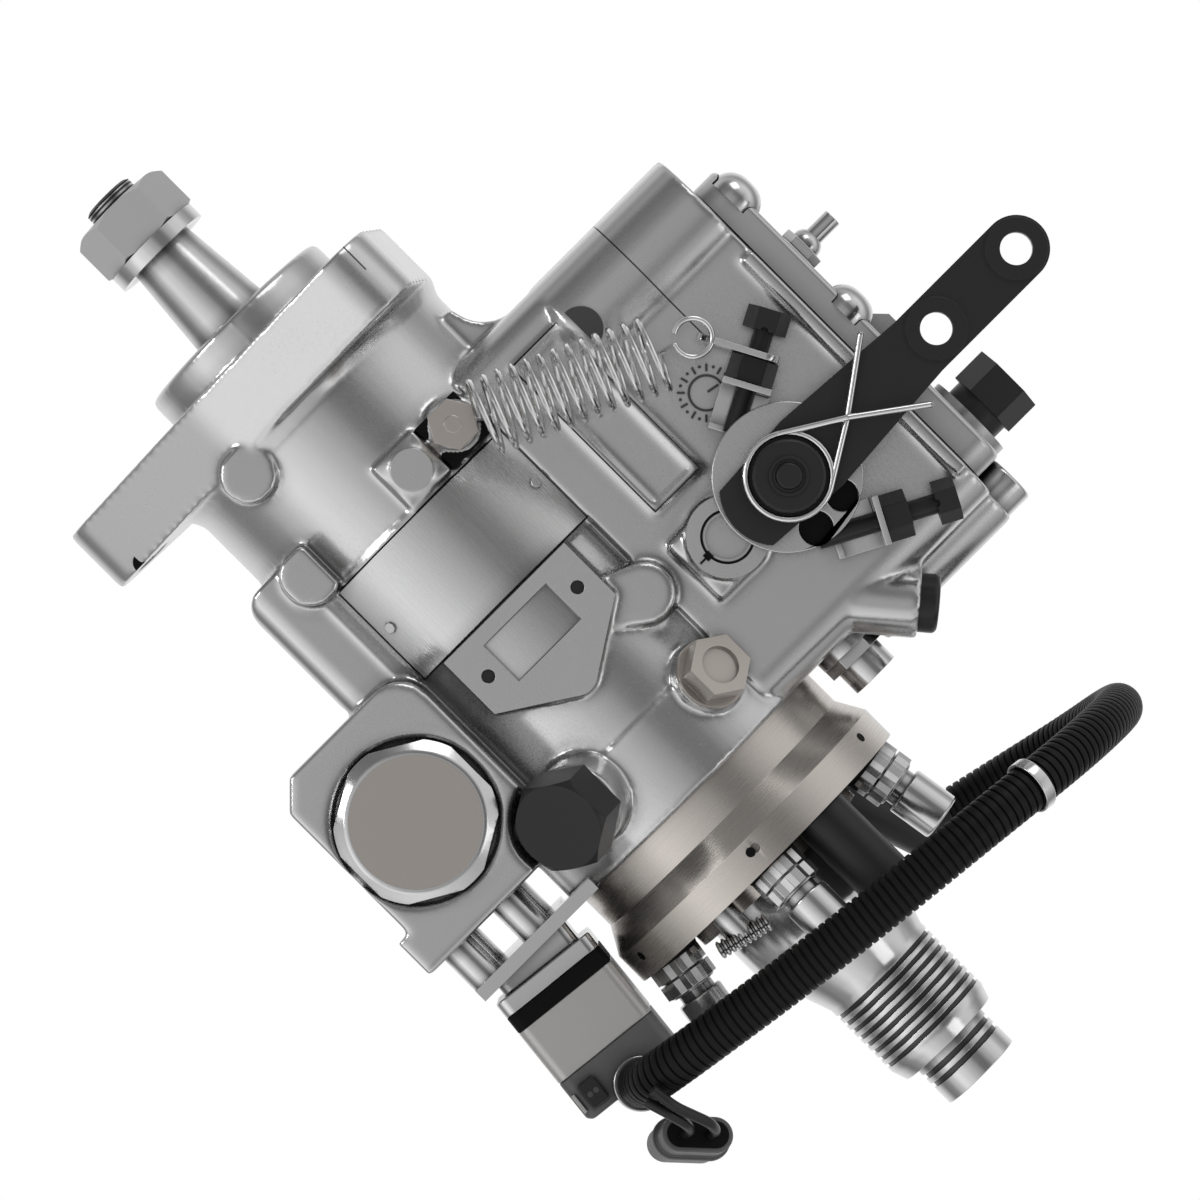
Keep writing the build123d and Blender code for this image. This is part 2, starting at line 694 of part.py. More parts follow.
def governor_case():
    """The upright case on the barrel that holds the governor, with its columns and rim."""
    case = block(
        GOVERNOR_START_X,
        GOVERNOR_END_X,
        -GOVERNOR_HALF_WIDTH,
        GOVERNOR_HALF_WIDTH,
        GOVERNOR_FLOOR_Z,
        GOVERNOR_TOP_Z,
    )
    case = fillet(case.edges().filter_by(Axis.Z), GOVERNOR_CORNER)
    column_y = GOVERNOR_HALF_WIDTH + COLUMN_PROUD - COLUMN_RADIUS
    for side in (-1, 1):
        column = rod_z(COLUMN_RADIUS, COLUMN_X, side * column_y, COLUMN_FOOT_Z, GOVERNOR_TOP_Z)
        foot = cone(
            COLUMN_RADIUS - COLUMN_PROUD,
            COLUMN_RADIUS,
            (COLUMN_X, side * column_y, COLUMN_FOOT_Z - COLUMN_PROUD),
            UPWARD,
            COLUMN_PROUD,
        )
        case += column + foot
    rear = block(
        GOVERNOR_END_X - GOVERNOR_CORNER,
        REAR_COLUMN_END_X,
        -REAR_COLUMN_HALF_WIDTH,
        REAR_COLUMN_HALF_WIDTH,
        REAR_COLUMN_FOOT_Z,
        GOVERNOR_TOP_Z,
    )
    rear_edges = rear.edges().filter_by(Axis.Z).group_by(Axis.X)[-1]
    case += fillet(rear_edges, GOVERNOR_CORNER - 1)
    rim = block(
        COLUMN_X + COLUMN_RADIUS,
        GOVERNOR_END_X - GOVERNOR_CORNER,
        -GOVERNOR_HALF_WIDTH - RIM_PROUD,
        GOVERNOR_HALF_WIDTH + RIM_PROUD,
        GOVERNOR_TOP_Z - RIM_HEIGHT,
        GOVERNOR_TOP_Z,
    )
    case += rim
    frame_height = FRAME_HIGH_Z - FRAME_LOW_Z
    frame_width = FRAME_END_X - FRAME_START_X
    outline = Rectangle(frame_width, frame_height)
    outline -= Rectangle(frame_width - 2 * FRAME_BORDER, frame_height - 2 * FRAME_BORDER)
    outline = Pos((FRAME_START_X + FRAME_END_X) / 2, (FRAME_LOW_Z + FRAME_HIGH_Z) / 2) * outline
    case += side_slab(outline, GOVERNOR_HALF_WIDTH - 1, GOVERNOR_HALF_WIDTH + FRAME_PROUD)
    throttle_boss = rod_y(
        THROTTLE_BOSS_RADIUS, PIVOT_X, PIVOT_Z, GOVERNOR_HALF_WIDTH - 1, THROTTLE_BOSS_REACH
    )
    snap_pad = block(
        SNAP_PAD_START_X, SNAP_PAD_END_X, -SNAP_PAD_REACH, 0, SNAP_PAD_LOW_Z, SNAP_PAD_HIGH_Z
    )
    snap_boss = rod_y(SNAP_BOSS_RADIUS, PIVOT_X, SNAP_CENTRE_Z, 0, SNAP_BOSS_REACH)
    rise_x = ANGLED_BOSS_END[0] - ANGLED_BOSS_START[0]
    rise_z = ANGLED_BOSS_END[1] - ANGLED_BOSS_START[1]
    angled = rod(
        ANGLED_BOSS_RADIUS,
        (ANGLED_BOSS_START[0], ANGLED_BOSS_Y, ANGLED_BOSS_START[1]),
        (rise_x, 0, rise_z),
        math.hypot(rise_x, rise_z),
    )
    neck = block(
        GOVERNOR_START_X - NECK_RADIUS,
        GOVERNOR_START_X + GOVERNOR_CORNER,
        -GOVERNOR_CORNER * 2,
        GOVERNOR_CORNER * 2,
        0,
        BARREL_RADIUS + NECK_RADIUS,
    )
    neck_cut = Pos(GOVERNOR_START_X - NECK_RADIUS, 0, BARREL_RADIUS + NECK_RADIUS)
    neck -= neck_cut * Rot(90, 0, 0) * Cylinder(NECK_RADIUS, GOVERNOR_CORNER * 5)
    return case + throttle_boss + snap_pad + snap_boss + angled + neck


def side_lugs():
    """The pads and bosses cast on the lever side of the barrel."""
    pad_half = SQUARE_PAD_SIZE / 2
    lugs = block(
        SQUARE_PAD_X - pad_half,
        SQUARE_PAD_X + pad_half,
        -SQUARE_PAD_FACE_Y,
        0,
        SQUARE_PAD_Z - pad_half,
        SQUARE_PAD_Z + pad_half,
    )
    disc_face = SQUARE_PAD_FACE_Y + SQUARE_PAD_DISC_HEIGHT
    lugs += rod_y(SQUARE_PAD_DISC_RADIUS, SQUARE_PAD_X, SQUARE_PAD_Z, 0, disc_face)
    lugs += rod_y(ANCHOR_BOSS_RADIUS, ANCHOR_BOLT_X, ANCHOR_BOLT_Z, 0, ANCHOR_BOSS_FACE_Y)
    moon = rod_y(HALF_MOON_RADIUS, HALF_MOON_X, HALF_MOON_Z, 0, BARREL_RADIUS - HALF_MOON_DEPTH)
    lugs += moon & block(
        SUMP_START_X,
        HALF_MOON_X + HALF_MOON_RADIUS,
        -BARREL_RADIUS,
        0,
        HALF_MOON_Z - HALF_MOON_RADIUS,
        HALF_MOON_Z + HALF_MOON_RADIUS / 2,
    )
    lugs += rod_y(FRONT_BOSS_RADIUS, FRONT_BOSS_X, FRONT_BOSS_Z, 0, FRONT_BOSS_FACE_Y)
    teardrop = make_hull(
        [
            *(Pos(TEARDROP_X, TEARDROP_Z) * Circle(TEARDROP_RADIUS)).edges(),
            *(Pos(WINDOW_START_X + TEARDROP_RADIUS, 0) * Circle(TEARDROP_RADIUS / 2)).edges(),
        ]
    )
    lugs += side_slab(teardrop, 0, WINDOW_FACE_Y - WINDOW_COVER_THICKNESS - TEARDROP_DEPTH)
    lugs += side_slab(window_outline(), 0, WINDOW_FACE_Y - WINDOW_COVER_THICKNESS)
    return lugs


def window_outline():
    """The five-sided outline of the timing window."""
    outline = make_face(
        Polyline(
            (WINDOW_START_X, WINDOW_LOW_Z),
            (WINDOW_SHOULDER_X, WINDOW_LOW_Z),
            (WINDOW_END_X + 1, WINDOW_APEX_Z),
            (WINDOW_SHOULDER_X, WINDOW_HIGH_Z),
            (WINDOW_START_X, WINDOW_HIGH_Z),
            close=True,
        )
    )
    return fillet(outline.vertices().sort_by(Axis.X)[-1], WINDOW_APEX_ROUNDING)


def advance_case():
    """The cross cylinder below the barrel that holds the advance piston."""
    case = block(
        ADVANCE_START_X,
        ADVANCE_END_X,
        -ADVANCE_HALF_WIDTH,
        ADVANCE_HALF_WIDTH,
        ADVANCE_BOTTOM_Z,
        ADVANCE_TOP_Z,
    )
    front_edges = case.edges().filter_by(Axis.Y).group_by(Axis.X)[0].sort_by(Axis.Z)
    case = fillet(front_edges[-1], ADVANCE_CORNER)
    bottom_edge = case.edges().filter_by(Axis.Y).sort_by(Axis.Z)[:2].sort_by(Axis.X)[0]
    case = chamfer(bottom_edge, ADVANCE_CHAMFER)
    case += block(
        ADVANCE_LUG_START_X,
        ADVANCE_END_X,
        -ADVANCE_HALF_WIDTH,
        -ADVANCE_PLUG_INNER_Y,
        ADVANCE_BOTTOM_Z - ADVANCE_LUG_DROP,
        ADVANCE_BOTTOM_Z + 1,
    )
    return case


def side_bosses():
    """The bosses of the hex bolt and the hex plug on the barrel beside the head."""
    bolt_boss = rod(
        SIDE_BOLT_WASHER_RADIUS,
        at_radius(SIDE_BOLT_X, SPIGOT_RADIUS, SIDE_BOLT_ANGLE),
        around(SIDE_BOLT_ANGLE),
        SIDE_BOLT_BOSS_REACH - SPIGOT_RADIUS,
    )
    plug_boss = rod(
        SIDE_BOSS_RADIUS,
        at_radius(SIDE_BOLT_X, SPIGOT_RADIUS, SIDE_PLUG_ANGLE),
        around(SIDE_PLUG_ANGLE),
        SIDE_BOSS_REACH - SPIGOT_RADIUS,
    )
    return bolt_boss + plug_boss


def housing_cavities():
    """Everything that is bored or cored out of the housing."""
    seal_start_x = 1 - PILOT_LENGTH
    bores = rod_x(JOURNAL_RADIUS + AIR_GAP, -PILOT_LENGTH - 1, seal_start_x)
    bores += rod_x(SEAL_BORE_RADIUS + SEAT_GAP, seal_start_x, seal_start_x + SEAL_LENGTH)
    bores += rod_x(BEARING_RADIUS + SEAT_GAP, seal_start_x + SEAL_LENGTH, CAVITY_START_X)
    bores += rod_x(CAVITY_RADIUS, CAVITY_START_X, SPIGOT_START_X)
    bores += rod_x(SPIGOT_RADIUS + SEAT_GAP, SPIGOT_START_X, HOUSING_END_X + 1)
    chamber = block(
        GOVERNOR_START_X + GOVERNOR_WALL,
        GOVERNOR_END_X - GOVERNOR_WALL,
        GOVERNOR_WALL - GOVERNOR_HALF_WIDTH,
        GOVERNOR_HALF_WIDTH - GOVERNOR_WALL,
        CHAMBER_FLOOR_Z,
        GOVERNOR_TOP_Z + 1,
    )
    bores += fillet(chamber.edges().filter_by(Axis.Z), CHAMBER_CORNER)
    bores += rod_y(
        THROTTLE_SHAFT_RADIUS + SEAT_GAP,
        PIVOT_X,
        PIVOT_Z,
        THROTTLE_SHAFT_INNER_REACH,
        THROTTLE_BOSS_REACH + 1,
    )
    pin_end = GOVERNOR_HALF_WIDTH - GOVERNOR_WALL / 2
    bores += rod_y(ARM_PIN_RADIUS + SEAT_GAP, ARM_PIVOT_X, ARM_PIVOT_Z, -pin_end, pin_end)
    bores += rod_y(
        ADVANCE_BORE_RADIUS + SEAT_GAP,
        ADVANCE_X,
        ADVANCE_Z,
        -ADVANCE_HALF_WIDTH - 1,
        ADVANCE_HALF_WIDTH + 1,
    )
    recess_floor = ADVANCE_HALF_WIDTH - ADVANCE_RECESS_DEPTH
    for side in (-1, 1):
        bores += rod(
            ADVANCE_RECESS_RADIUS,
            (ADVANCE_X, side * recess_floor, ADVANCE_Z),
            (0, side, 0),
            ADVANCE_RECESS_DEPTH + 1,
        )
    bores += rod_z(CAM_PIN_BORE_RADIUS, ADVANCE_X, 0, ADVANCE_Z, 0)
    bores += rod_y(
        SNAP_RING_RADIUS + SEAT_GAP,
        PIVOT_X,
        SNAP_CENTRE_Z,
        SNAP_BOSS_REACH - SNAP_PLUG_DEPTH,
        SNAP_BOSS_REACH + 1,
    )
    bores += rod(
        SIDE_PLUG_SPOT_RADIUS,
        at_radius(SIDE_BOLT_X, SIDE_BOSS_REACH, SIDE_PLUG_ANGLE),
        around(SIDE_PLUG_ANGLE),
        SIDE_PLUG_HEIGHT * 2,
    )
    bores += rod(
        SIDE_BOLT_SPOT_RADIUS,
        at_radius(SIDE_BOLT_X, SIDE_BOLT_BOSS_REACH, SIDE_BOLT_ANGLE),
        around(SIDE_BOLT_ANGLE),
        SIDE_BOLT_HEIGHT * 2,
    )
    bores += rod_y(
        ANCHOR_BOLT_COLLAR / 2 + SEAT_GAP,
        ANCHOR_BOLT_X,
        ANCHOR_BOLT_Z,
        CAVITY_RADIUS + ANCHOR_BOLT_SEAT,
        ANCHOR_BOSS_FACE_Y + 1,
    )
    return bores


def casting():
    """The whole casting: flange, barrel, governor case and advance cylinder."""
    body = flange() + barrel() + governor_case() + side_lugs() + advance_case() + side_bosses()
    return body - housing_cavities()


def upper_space():
    """The space of the casting's upper part, above the parting plane."""
    half = 2 * GOVERNOR_HALF_WIDTH
    start_x = GOVERNOR_START_X - NECK_RADIUS
    return block(start_x, REAR_COLUMN_END_X + 1, -half, half, PARTING_Z, GOVERNOR_TOP_Z + 1)


def pump_housing():
    """The casting below the parting plane: flange, barrel and advance cylinder."""
    return casting() - upper_space()


def governor_housing():
    """The casting above the parting plane: the case of the governor and the throttle."""
    return casting() & upper_space()


def governor_cover():
    """The lid of the governor case with its fitting boss and its sloped solenoid dome."""
    low_z = GOVERNOR_TOP_Z + GASKET_THICKNESS
    high_z = low_z + COVER_THICKNESS
    lid = block(
        COVER_START_X, COVER_END_X, -COVER_HALF_WIDTH, COVER_HALF_WIDTH, low_z, high_z
    )
    lid = fillet(lid.edges().filter_by(Axis.Z), COVER_CORNER)
    lid = fillet(lid.faces().sort_by(Axis.Z)[-1].edges(), COVER_EDGE_ROUNDING)
    boss_top = high_z + COVER_BOSS_HEIGHT
    lid += rod_z(COVER_BOSS_RADIUS, COVER_BOSS_X, 0, low_z, boss_top)
    lid -= rod_z(RETURN_FITTING_BORE_RADIUS, COVER_BOSS_X, 0, low_z - 1, boss_top + 1)
    slope = make_face(
        Polyline(
            (SLOPED_BOSS_X - SLOPED_BOSS_RISE, low_z),
            (SLOPED_BOSS_X, high_z + SLOPED_BOSS_HEIGHT),
            (SLOPED_BOSS_X + SLOPED_BOSS_TOP, high_z + SLOPED_BOSS_HEIGHT),
            (SLOPED_BOSS_X + SLOPED_BOSS_TOP + SLOPED_BOSS_FALL, low_z),
            close=True,
        )
    )
    lid += side_slab(slope, -SLOPED_BOSS_FAR_REACH, SLOPED_BOSS_NEAR_REACH)
    for x in COVER_SCREW_XS:
        for side in (-1, 1):
            lid -= rod_z(
                COVER_SCREW_RADIUS + AIR_GAP,
                x,
                side * COVER_SCREW_Y,
                high_z - COVER_SCREW_SINK,
                high_z + COVER_SCREW_HEIGHT,
            )
    return lid


def cover_gasket():
    """The thin gasket between the case and its cover."""
    sheet = block(
        COVER_START_X,
        COVER_END_X,
        -COVER_HALF_WIDTH,
        COVER_HALF_WIDTH,
        GOVERNOR_TOP_Z,
        GOVERNOR_TOP_Z + GASKET_THICKNESS,
    )
    sheet = fillet(sheet.edges().filter_by(Axis.Z), COVER_CORNER)
    opening = block(
        GOVERNOR_START_X + GOVERNOR_WALL + COVER_CORNER,
        GOVERNOR_END_X - GOVERNOR_WALL - COVER_CORNER,
        GOVERNOR_WALL - GOVERNOR_HALF_WIDTH + 1,
        GOVERNOR_HALF_WIDTH - GOVERNOR_WALL - 1,
        GOVERNOR_TOP_Z - 1,
        GOVERNOR_TOP_Z + 1,
    )
    return sheet - opening


def cover_screws():
    """The domed cover screws and the cap screw on the rear column."""
    seat_z = GOVERNOR_TOP_Z + GASKET_THICKNESS + COVER_THICKNESS - COVER_SCREW_SINK
    heads = []
    for x in COVER_SCREW_XS:
        for side in (-1, 1):
            head = rod_z(
                COVER_SCREW_RADIUS, x, side * COVER_SCREW_Y, seat_z, seat_z + COVER_SCREW_HEIGHT
            )
            top = head.faces().sort_by(Axis.Z)[-1]
            heads.append(fillet(top.edges(), COVER_SCREW_HEIGHT * 0.8))
    cap = rod_z(
        CAP_SCREW_RADIUS, CAP_SCREW_X, 0, GOVERNOR_TOP_Z, GOVERNOR_TOP_Z + CAP_SCREW_HEIGHT
    )
    heads.append(fillet(cap.faces().sort_by(Axis.Z)[-1].edges(), 1))
    return Compound(children=heads)


def terminal_stud():
    """The electrical terminal: a hex base, a nut and the stud through both."""
    base_z = GOVERNOR_TOP_Z + GASKET_THICKNESS + COVER_THICKNESS
    base = (TERMINAL_X, 0, base_z)
    nut_z = base_z + TERMINAL_BASE_HEIGHT
    free_z = nut_z + TERMINAL_NUT_HEIGHT
    stud = hexagon(TERMINAL_BASE_FLATS, base, UPWARD, TERMINAL_BASE_HEIGHT, ALONG_X)
    stud += rod_z(TERMINAL_THREAD_RADIUS, TERMINAL_X, 0, base_z, free_z)
    top_z = free_z + TERMINAL_STUD_LENGTH
    stud += rod_z(TERMINAL_STUD_RADIUS, TERMINAL_X, 0, free_z, top_z)
    nut_start = (TERMINAL_X, 0, nut_z)
    nut = hexagon(TERMINAL_NUT_FLATS, nut_start, UPWARD, TERMINAL_NUT_HEIGHT, ALONG_X)
    nut -= rod_z(TERMINAL_THREAD_RADIUS + SEAT_GAP, TERMINAL_X, 0, base_z, top_z)
    return Compound(children=[stud, nut])


def return_fitting():
    """The fuel return fitting on the cover boss."""
    base_z = GOVERNOR_TOP_Z + GASKET_THICKNESS + COVER_THICKNESS + COVER_BOSS_HEIGHT
    head_z = base_z + RETURN_FITTING_SHANK_HEIGHT
    top_z = head_z + RETURN_FITTING_HEAD_HEIGHT
    fitting = rod_z(RETURN_FITTING_SHANK_RADIUS, COVER_BOSS_X, 0, base_z, head_z)
    fitting += hexagon(
        RETURN_FITTING_FLATS, (COVER_BOSS_X, 0, head_z), UPWARD, RETURN_FITTING_HEAD_HEIGHT,
        ALONG_X,
    )
    return fitting - rod_z(RETURN_FITTING_BORE_RADIUS, COVER_BOSS_X, 0, base_z - 1, top_z + 1)


def shutoff_coil():
    """The shut-off coil hung under the cover."""
    start_x = TERMINAL_X - COIL_LENGTH / 2
    coil = rod_x(COIL_RADIUS, start_x, start_x + COIL_LENGTH, COIL_FAR_REACH, COIL_Z)
    hanger = block(
        TERMINAL_X - COIL_HANGER_HALF,
        TERMINAL_X + COIL_HANGER_HALF,
        COIL_FAR_REACH - COIL_HANGER_HALF_DEPTH,
        COIL_FAR_REACH + COIL_HANGER_HALF_DEPTH,
        COIL_Z,
        GOVERNOR_TOP_Z + GASKET_THICKNESS,
    )
    return coil + hanger


def side_plate():
    """The curved plate wrapped on the barrel's pad."""
    inner = BARREL_RADIUS + PLATE_PAD_HEIGHT + AIR_GAP
    outer = inner + PLATE_THICKNESS
    half_height = inner * math.sin(math.radians(PLATE_HALF_ANGLE))
    sheet = rod_x(outer, PLATE_START_X, PLATE_END_X - AIR_GAP)
    sheet -= rod_x(inner, PLATE_START_X - 1, PLATE_END_X)
    return sheet & block(PLATE_START_X, PLATE_END_X, -outer, 0, -half_height, half_height)


def plate_screws():
    """The drive screws of the side plate and the screws of the timing window cover."""
    screws = []
    plate_outer = BARREL_RADIUS + PLATE_PAD_HEIGHT + AIR_GAP + PLATE_THICKNESS
    middle_x = (PLATE_START_X + PLATE_END_X) / 2
    for side in (-1, 1):
        angle = side * (PLATE_HALF_ANGLE - PLATE_SCREW_MARGIN_ANGLE)
        screws.append(
            rod(
                PLATE_SCREW_RADIUS,
                at_radius(middle_x, plate_outer, angle),
                around(angle),
                PLATE_SCREW_HEIGHT,
            )
        )
    seat = WINDOW_FACE_Y - WINDOW_SCREW_SINK
    for z in WINDOW_SCREW_ZS:
        screws.append(
            rod_y(WINDOW_SCREW_RADIUS, WINDOW_SCREW_X, z, seat, seat + WINDOW_SCREW_HEIGHT)
        )
    return Compound(children=screws)


def timing_cover():
    """The flat five-sided cover of the timing window, recessed in the middle."""
    inner = WINDOW_FACE_Y - WINDOW_COVER_THICKNESS
    cover = side_slab(window_outline(), inner, WINDOW_FACE_Y)
    recess = block(
        WINDOW_RECESS_START_X,
        WINDOW_RECESS_END_X,
        -WINDOW_FACE_Y - 1,
        WINDOW_RECESS_DEPTH - WINDOW_FACE_Y,
        WINDOW_RECESS_LOW_Z,
        WINDOW_RECESS_HIGH_Z,
    )
    cover -= recess
    for z in WINDOW_SCREW_ZS:
        cover -= rod_y(
            WINDOW_SCREW_RADIUS,
            WINDOW_SCREW_X,
            z,
            WINDOW_FACE_Y - WINDOW_SCREW_SINK,
            WINDOW_FACE_Y + 1,
        )
    return cover


def advance_plugs():
    """The two hex plugs that close the advance cylinder."""
    plugs = []
    seat = ADVANCE_HALF_WIDTH - ADVANCE_RECESS_DEPTH
    for side in (-1, 1):
        out = (0, side, 0)
        plug = rod(
            ADVANCE_BORE_RADIUS,
            (ADVANCE_X, side * ADVANCE_PLUG_INNER_Y, ADVANCE_Z),
            out,
            seat - ADVANCE_PLUG_INNER_Y,
        )
        start = (ADVANCE_X, side * seat, ADVANCE_Z)
        head = hexagon(ADVANCE_PLUG_FLATS, start, out, ADVANCE_PLUG_HEAD, ALONG_X)
        rounding = cone(
            ADVANCE_PLUG_FACE_RADIUS + ADVANCE_PLUG_BEVEL_SLOPE * ADVANCE_PLUG_HEAD,
            ADVANCE_PLUG_FACE_RADIUS,
            start,
            out,
            ADVANCE_PLUG_HEAD,
        )
        head &= rod(ADVANCE_PLUG_HEAD_RADIUS, start, out, ADVANCE_PLUG_HEAD)
        plugs.append(plug + (head & rounding))
    return Compound(children=plugs)


def advance_piston():
    """The advance piston with the socket for the cam pin."""
    piston = rod_y(
        ADVANCE_BORE_RADIUS - RUN_GAP / 2,
        ADVANCE_X,
        ADVANCE_Z,
        -ADVANCE_PISTON_HALF,
        ADVANCE_PISTON_HALF,
    )
    top_z = ADVANCE_Z + ADVANCE_BORE_RADIUS
    socket_radius = CAM_PIN_RADIUS + CAM_PIN_PLAY
    return piston - rod_z(
        socket_radius, ADVANCE_X, 0, top_z - CAM_PIN_DEPTH - CAM_PIN_PLAY, top_z + 1
    )


def cam_ring():
    """The cam ring with its inward lobes and the pin that turns it."""
    outer = CAVITY_RADIUS - RUN_GAP
    lobe_top = CAM_VALLEY_RADIUS - CAM_LOBE_HEIGHT
    half_angle = math.radians(CAM_LOBE_HALF_ANGLE)
    edge = CAM_VALLEY_RADIUS * math.cos(half_angle)
    centre = (CAM_VALLEY_RADIUS**2 - lobe_top**2) / (2 * (edge - lobe_top))
    ring = rod_x(outer, CAM_START_X, CAM_END_X)
    ring -= rod_x(CAM_VALLEY_RADIUS, CAM_START_X - 1, CAM_END_X + 1)
    for lobe in range(CAM_LOBES):
        angle = 360 / CAM_LOBES * (lobe + 0.5)
        _, y, z = at_radius(0, centre, angle)
        ring += rod_x(centre - lobe_top, CAM_START_X, CAM_END_X, y, z) & rod_x(
            outer, CAM_START_X, CAM_END_X
        )
    middle_x = (CAM_START_X + CAM_END_X) / 2
    top_z = ADVANCE_Z + ADVANCE_BORE_RADIUS
    return ring + rod_z(CAM_PIN_RADIUS, middle_x, 0, top_z - CAM_PIN_DEPTH, 2 - outer)


def side_bolt():
    """The tan hex bolt with its washer face, on the barrel beside the head."""
    out = around(SIDE_BOLT_ANGLE)
    start = at_radius(SIDE_BOLT_X, SIDE_BOLT_BOSS_REACH, SIDE_BOLT_ANGLE)
    bolt = rod(SIDE_BOLT_WASHER_RADIUS, start, out, SIDE_BOLT_WASHER_HEIGHT)
    head_start = along(start, out, SIDE_BOLT_WASHER_HEIGHT)
    head_height = SIDE_BOLT_HEIGHT - SIDE_BOLT_WASHER_HEIGHT
    bolt += hexagon(SIDE_BOLT_FLATS, head_start, out, head_height, ALONG_X)
    dish_start = along(start, out, SIDE_BOLT_HEIGHT - SIDE_BOLT_DISH)
    return bolt - rod(SIDE_BOLT_FLATS / 2 - SIDE_BOLT_RIM, dish_start, out, 2 * SIDE_BOLT_DISH)


def side_hex_plug():
    """The large dark hex plug below the hex bolt."""
    out = around(SIDE_PLUG_ANGLE)
    start = at_radius(SIDE_BOLT_X, SIDE_BOSS_REACH, SIDE_PLUG_ANGLE)
    plug = hexagon(SIDE_PLUG_FLATS, start, out, SIDE_PLUG_HEIGHT, ALONG_X)
    rounding = cone(
        SIDE_PLUG_FLATS / 2 + SIDE_PLUG_HEIGHT, SIDE_PLUG_FLATS / 2, start, out, SIDE_PLUG_HEIGHT
    )
    return plug & rounding


def anchor_bolt():
    """The bolt whose collar holds the lower hook of the return spring."""
    collar_radius = ANCHOR_BOLT_COLLAR / 2
    head_start = SPRING_REACH + ANCHOR_HEAD_GAP
    seat = CAVITY_RADIUS + ANCHOR_BOLT_SEAT + AIR_GAP
    bolt = rod_y(collar_radius, ANCHOR_BOLT_X, ANCHOR_BOLT_Z, seat, head_start)
    bolt += hexagon(
        ANCHOR_BOLT_FLATS,
        (ANCHOR_BOLT_X, -head_start, ANCHOR_BOLT_Z),
        TOWARDS_LEVER_SIDE,
        ANCHOR_BOLT_HEAD,
        UPWARD,
    )
    return bolt


def snap_ring_plug():
    """The round plug under the lever and the ring that holds it."""
    inner = SNAP_BOSS_REACH - SNAP_PLUG_DEPTH
    plug = rod_y(
        SNAP_RING_RADIUS, PIVOT_X, SNAP_CENTRE_Z, inner, SNAP_BOSS_REACH - SNAP_PLUG_SINK
    )
    return Compound(children=[plug, retaining_ring()])


def retaining_ring():
    """The open ring on the round plug, with its gap at the bottom."""
    inner = SNAP_BOSS_REACH - SNAP_PLUG_SINK
    outer = inner + SNAP_RING_THICKNESS
    ring = rod_y(SNAP_RING_RADIUS, PIVOT_X, SNAP_CENTRE_Z, inner, outer)
    hole_radius = SNAP_RING_RADIUS - SNAP_RING_WIDTH
    ring -= rod_y(hole_radius, PIVOT_X, SNAP_CENTRE_Z, inner - 1, outer + 1)
    half_gap = SNAP_RING_GAP / 2
    low_z = SNAP_CENTRE_Z - SNAP_RING_RADIUS - 1
    return ring - block(
        PIVOT_X - half_gap, PIVOT_X + half_gap, -outer - 1, 1 - inner, low_z, SNAP_CENTRE_Z
    )


def angled_plug():
    """The domed plug on the angled boss."""
    rise_x = ANGLED_BOSS_END[0] - ANGLED_BOSS_START[0]
    rise_z = ANGLED_BOSS_END[1] - ANGLED_BOSS_START[1]
    start = (ANGLED_BOSS_END[0], ANGLED_BOSS_Y, ANGLED_BOSS_END[1])
    plug = rod(ANGLED_PLUG_RADIUS, start, (rise_x, 0, rise_z), ANGLED_PLUG_HEIGHT)
    top = plug.faces().filter_by(GeomType.PLANE).sort_by(Axis.X)[-1]
    return fillet(top.edges(), ANGLED_PLUG_ROUNDING)


def side_fitting():
    """The small fitting on the rear face of the governor case."""
    start_x, hex_x, cap_x, end_x = SIDE_FITTING_STEPS
    centre = (SIDE_FITTING_Y, SIDE_FITTING_Z)
    fitting = rod_x(SIDE_FITTING_FLANGE_RADIUS, start_x, hex_x, *centre)
    fitting += hexagon(
        SIDE_FITTING_FLATS, (hex_x, *centre), ALONG_X, cap_x - hex_x, UPWARD
    )
    fitting += rod_x(SIDE_FITTING_CAP_RADIUS, cap_x, end_x, *centre)
    dish_radius = SIDE_FITTING_CAP_RADIUS - SIDE_FITTING_CAP_RIM
    return fitting - rod_x(dish_radius, end_x - SIDE_FITTING_CAP_RIM, end_x + 1, *centre)


def drive_shaft():
    """The tapered drive shaft with its thread and the tang that turns the rotor."""
    washer_end_x = TAPER_START_X
    thread_tip_x = washer_end_x - SHAFT_WASHER_LENGTH - SHAFT_NUT_LENGTH - SHAFT_THREAD_TIP
    tang_x = ROTOR_HUB_START_X - CAGE_DISC_THICKNESS
    shaft = turned(
        (thread_tip_x, 0),
        (thread_tip_x, SHAFT_THREAD_RADIUS - SHAFT_THREAD_BEVEL),
        (thread_tip_x + SHAFT_THREAD_BEVEL, SHAFT_THREAD_RADIUS),
        (washer_end_x, SHAFT_THREAD_RADIUS),
        (washer_end_x, TAPER_SMALL_RADIUS),
        (TAPER_END_X, JOURNAL_RADIUS),
        (tang_x, JOURNAL_RADIUS),
        (tang_x, 0),
    )
    half_width = SHAFT_TANG_WIDTH / 2
    tang_end_x = tang_x + CAGE_DISC_THICKNESS + SHAFT_TANG_LENGTH
    tang = block(tang_x - 1, tang_end_x, -JOURNAL_RADIUS, JOURNAL_RADIUS, -half_width, half_width)
    return shaft + (tang & rod_x(JOURNAL_RADIUS, tang_x - 1, tang_end_x))


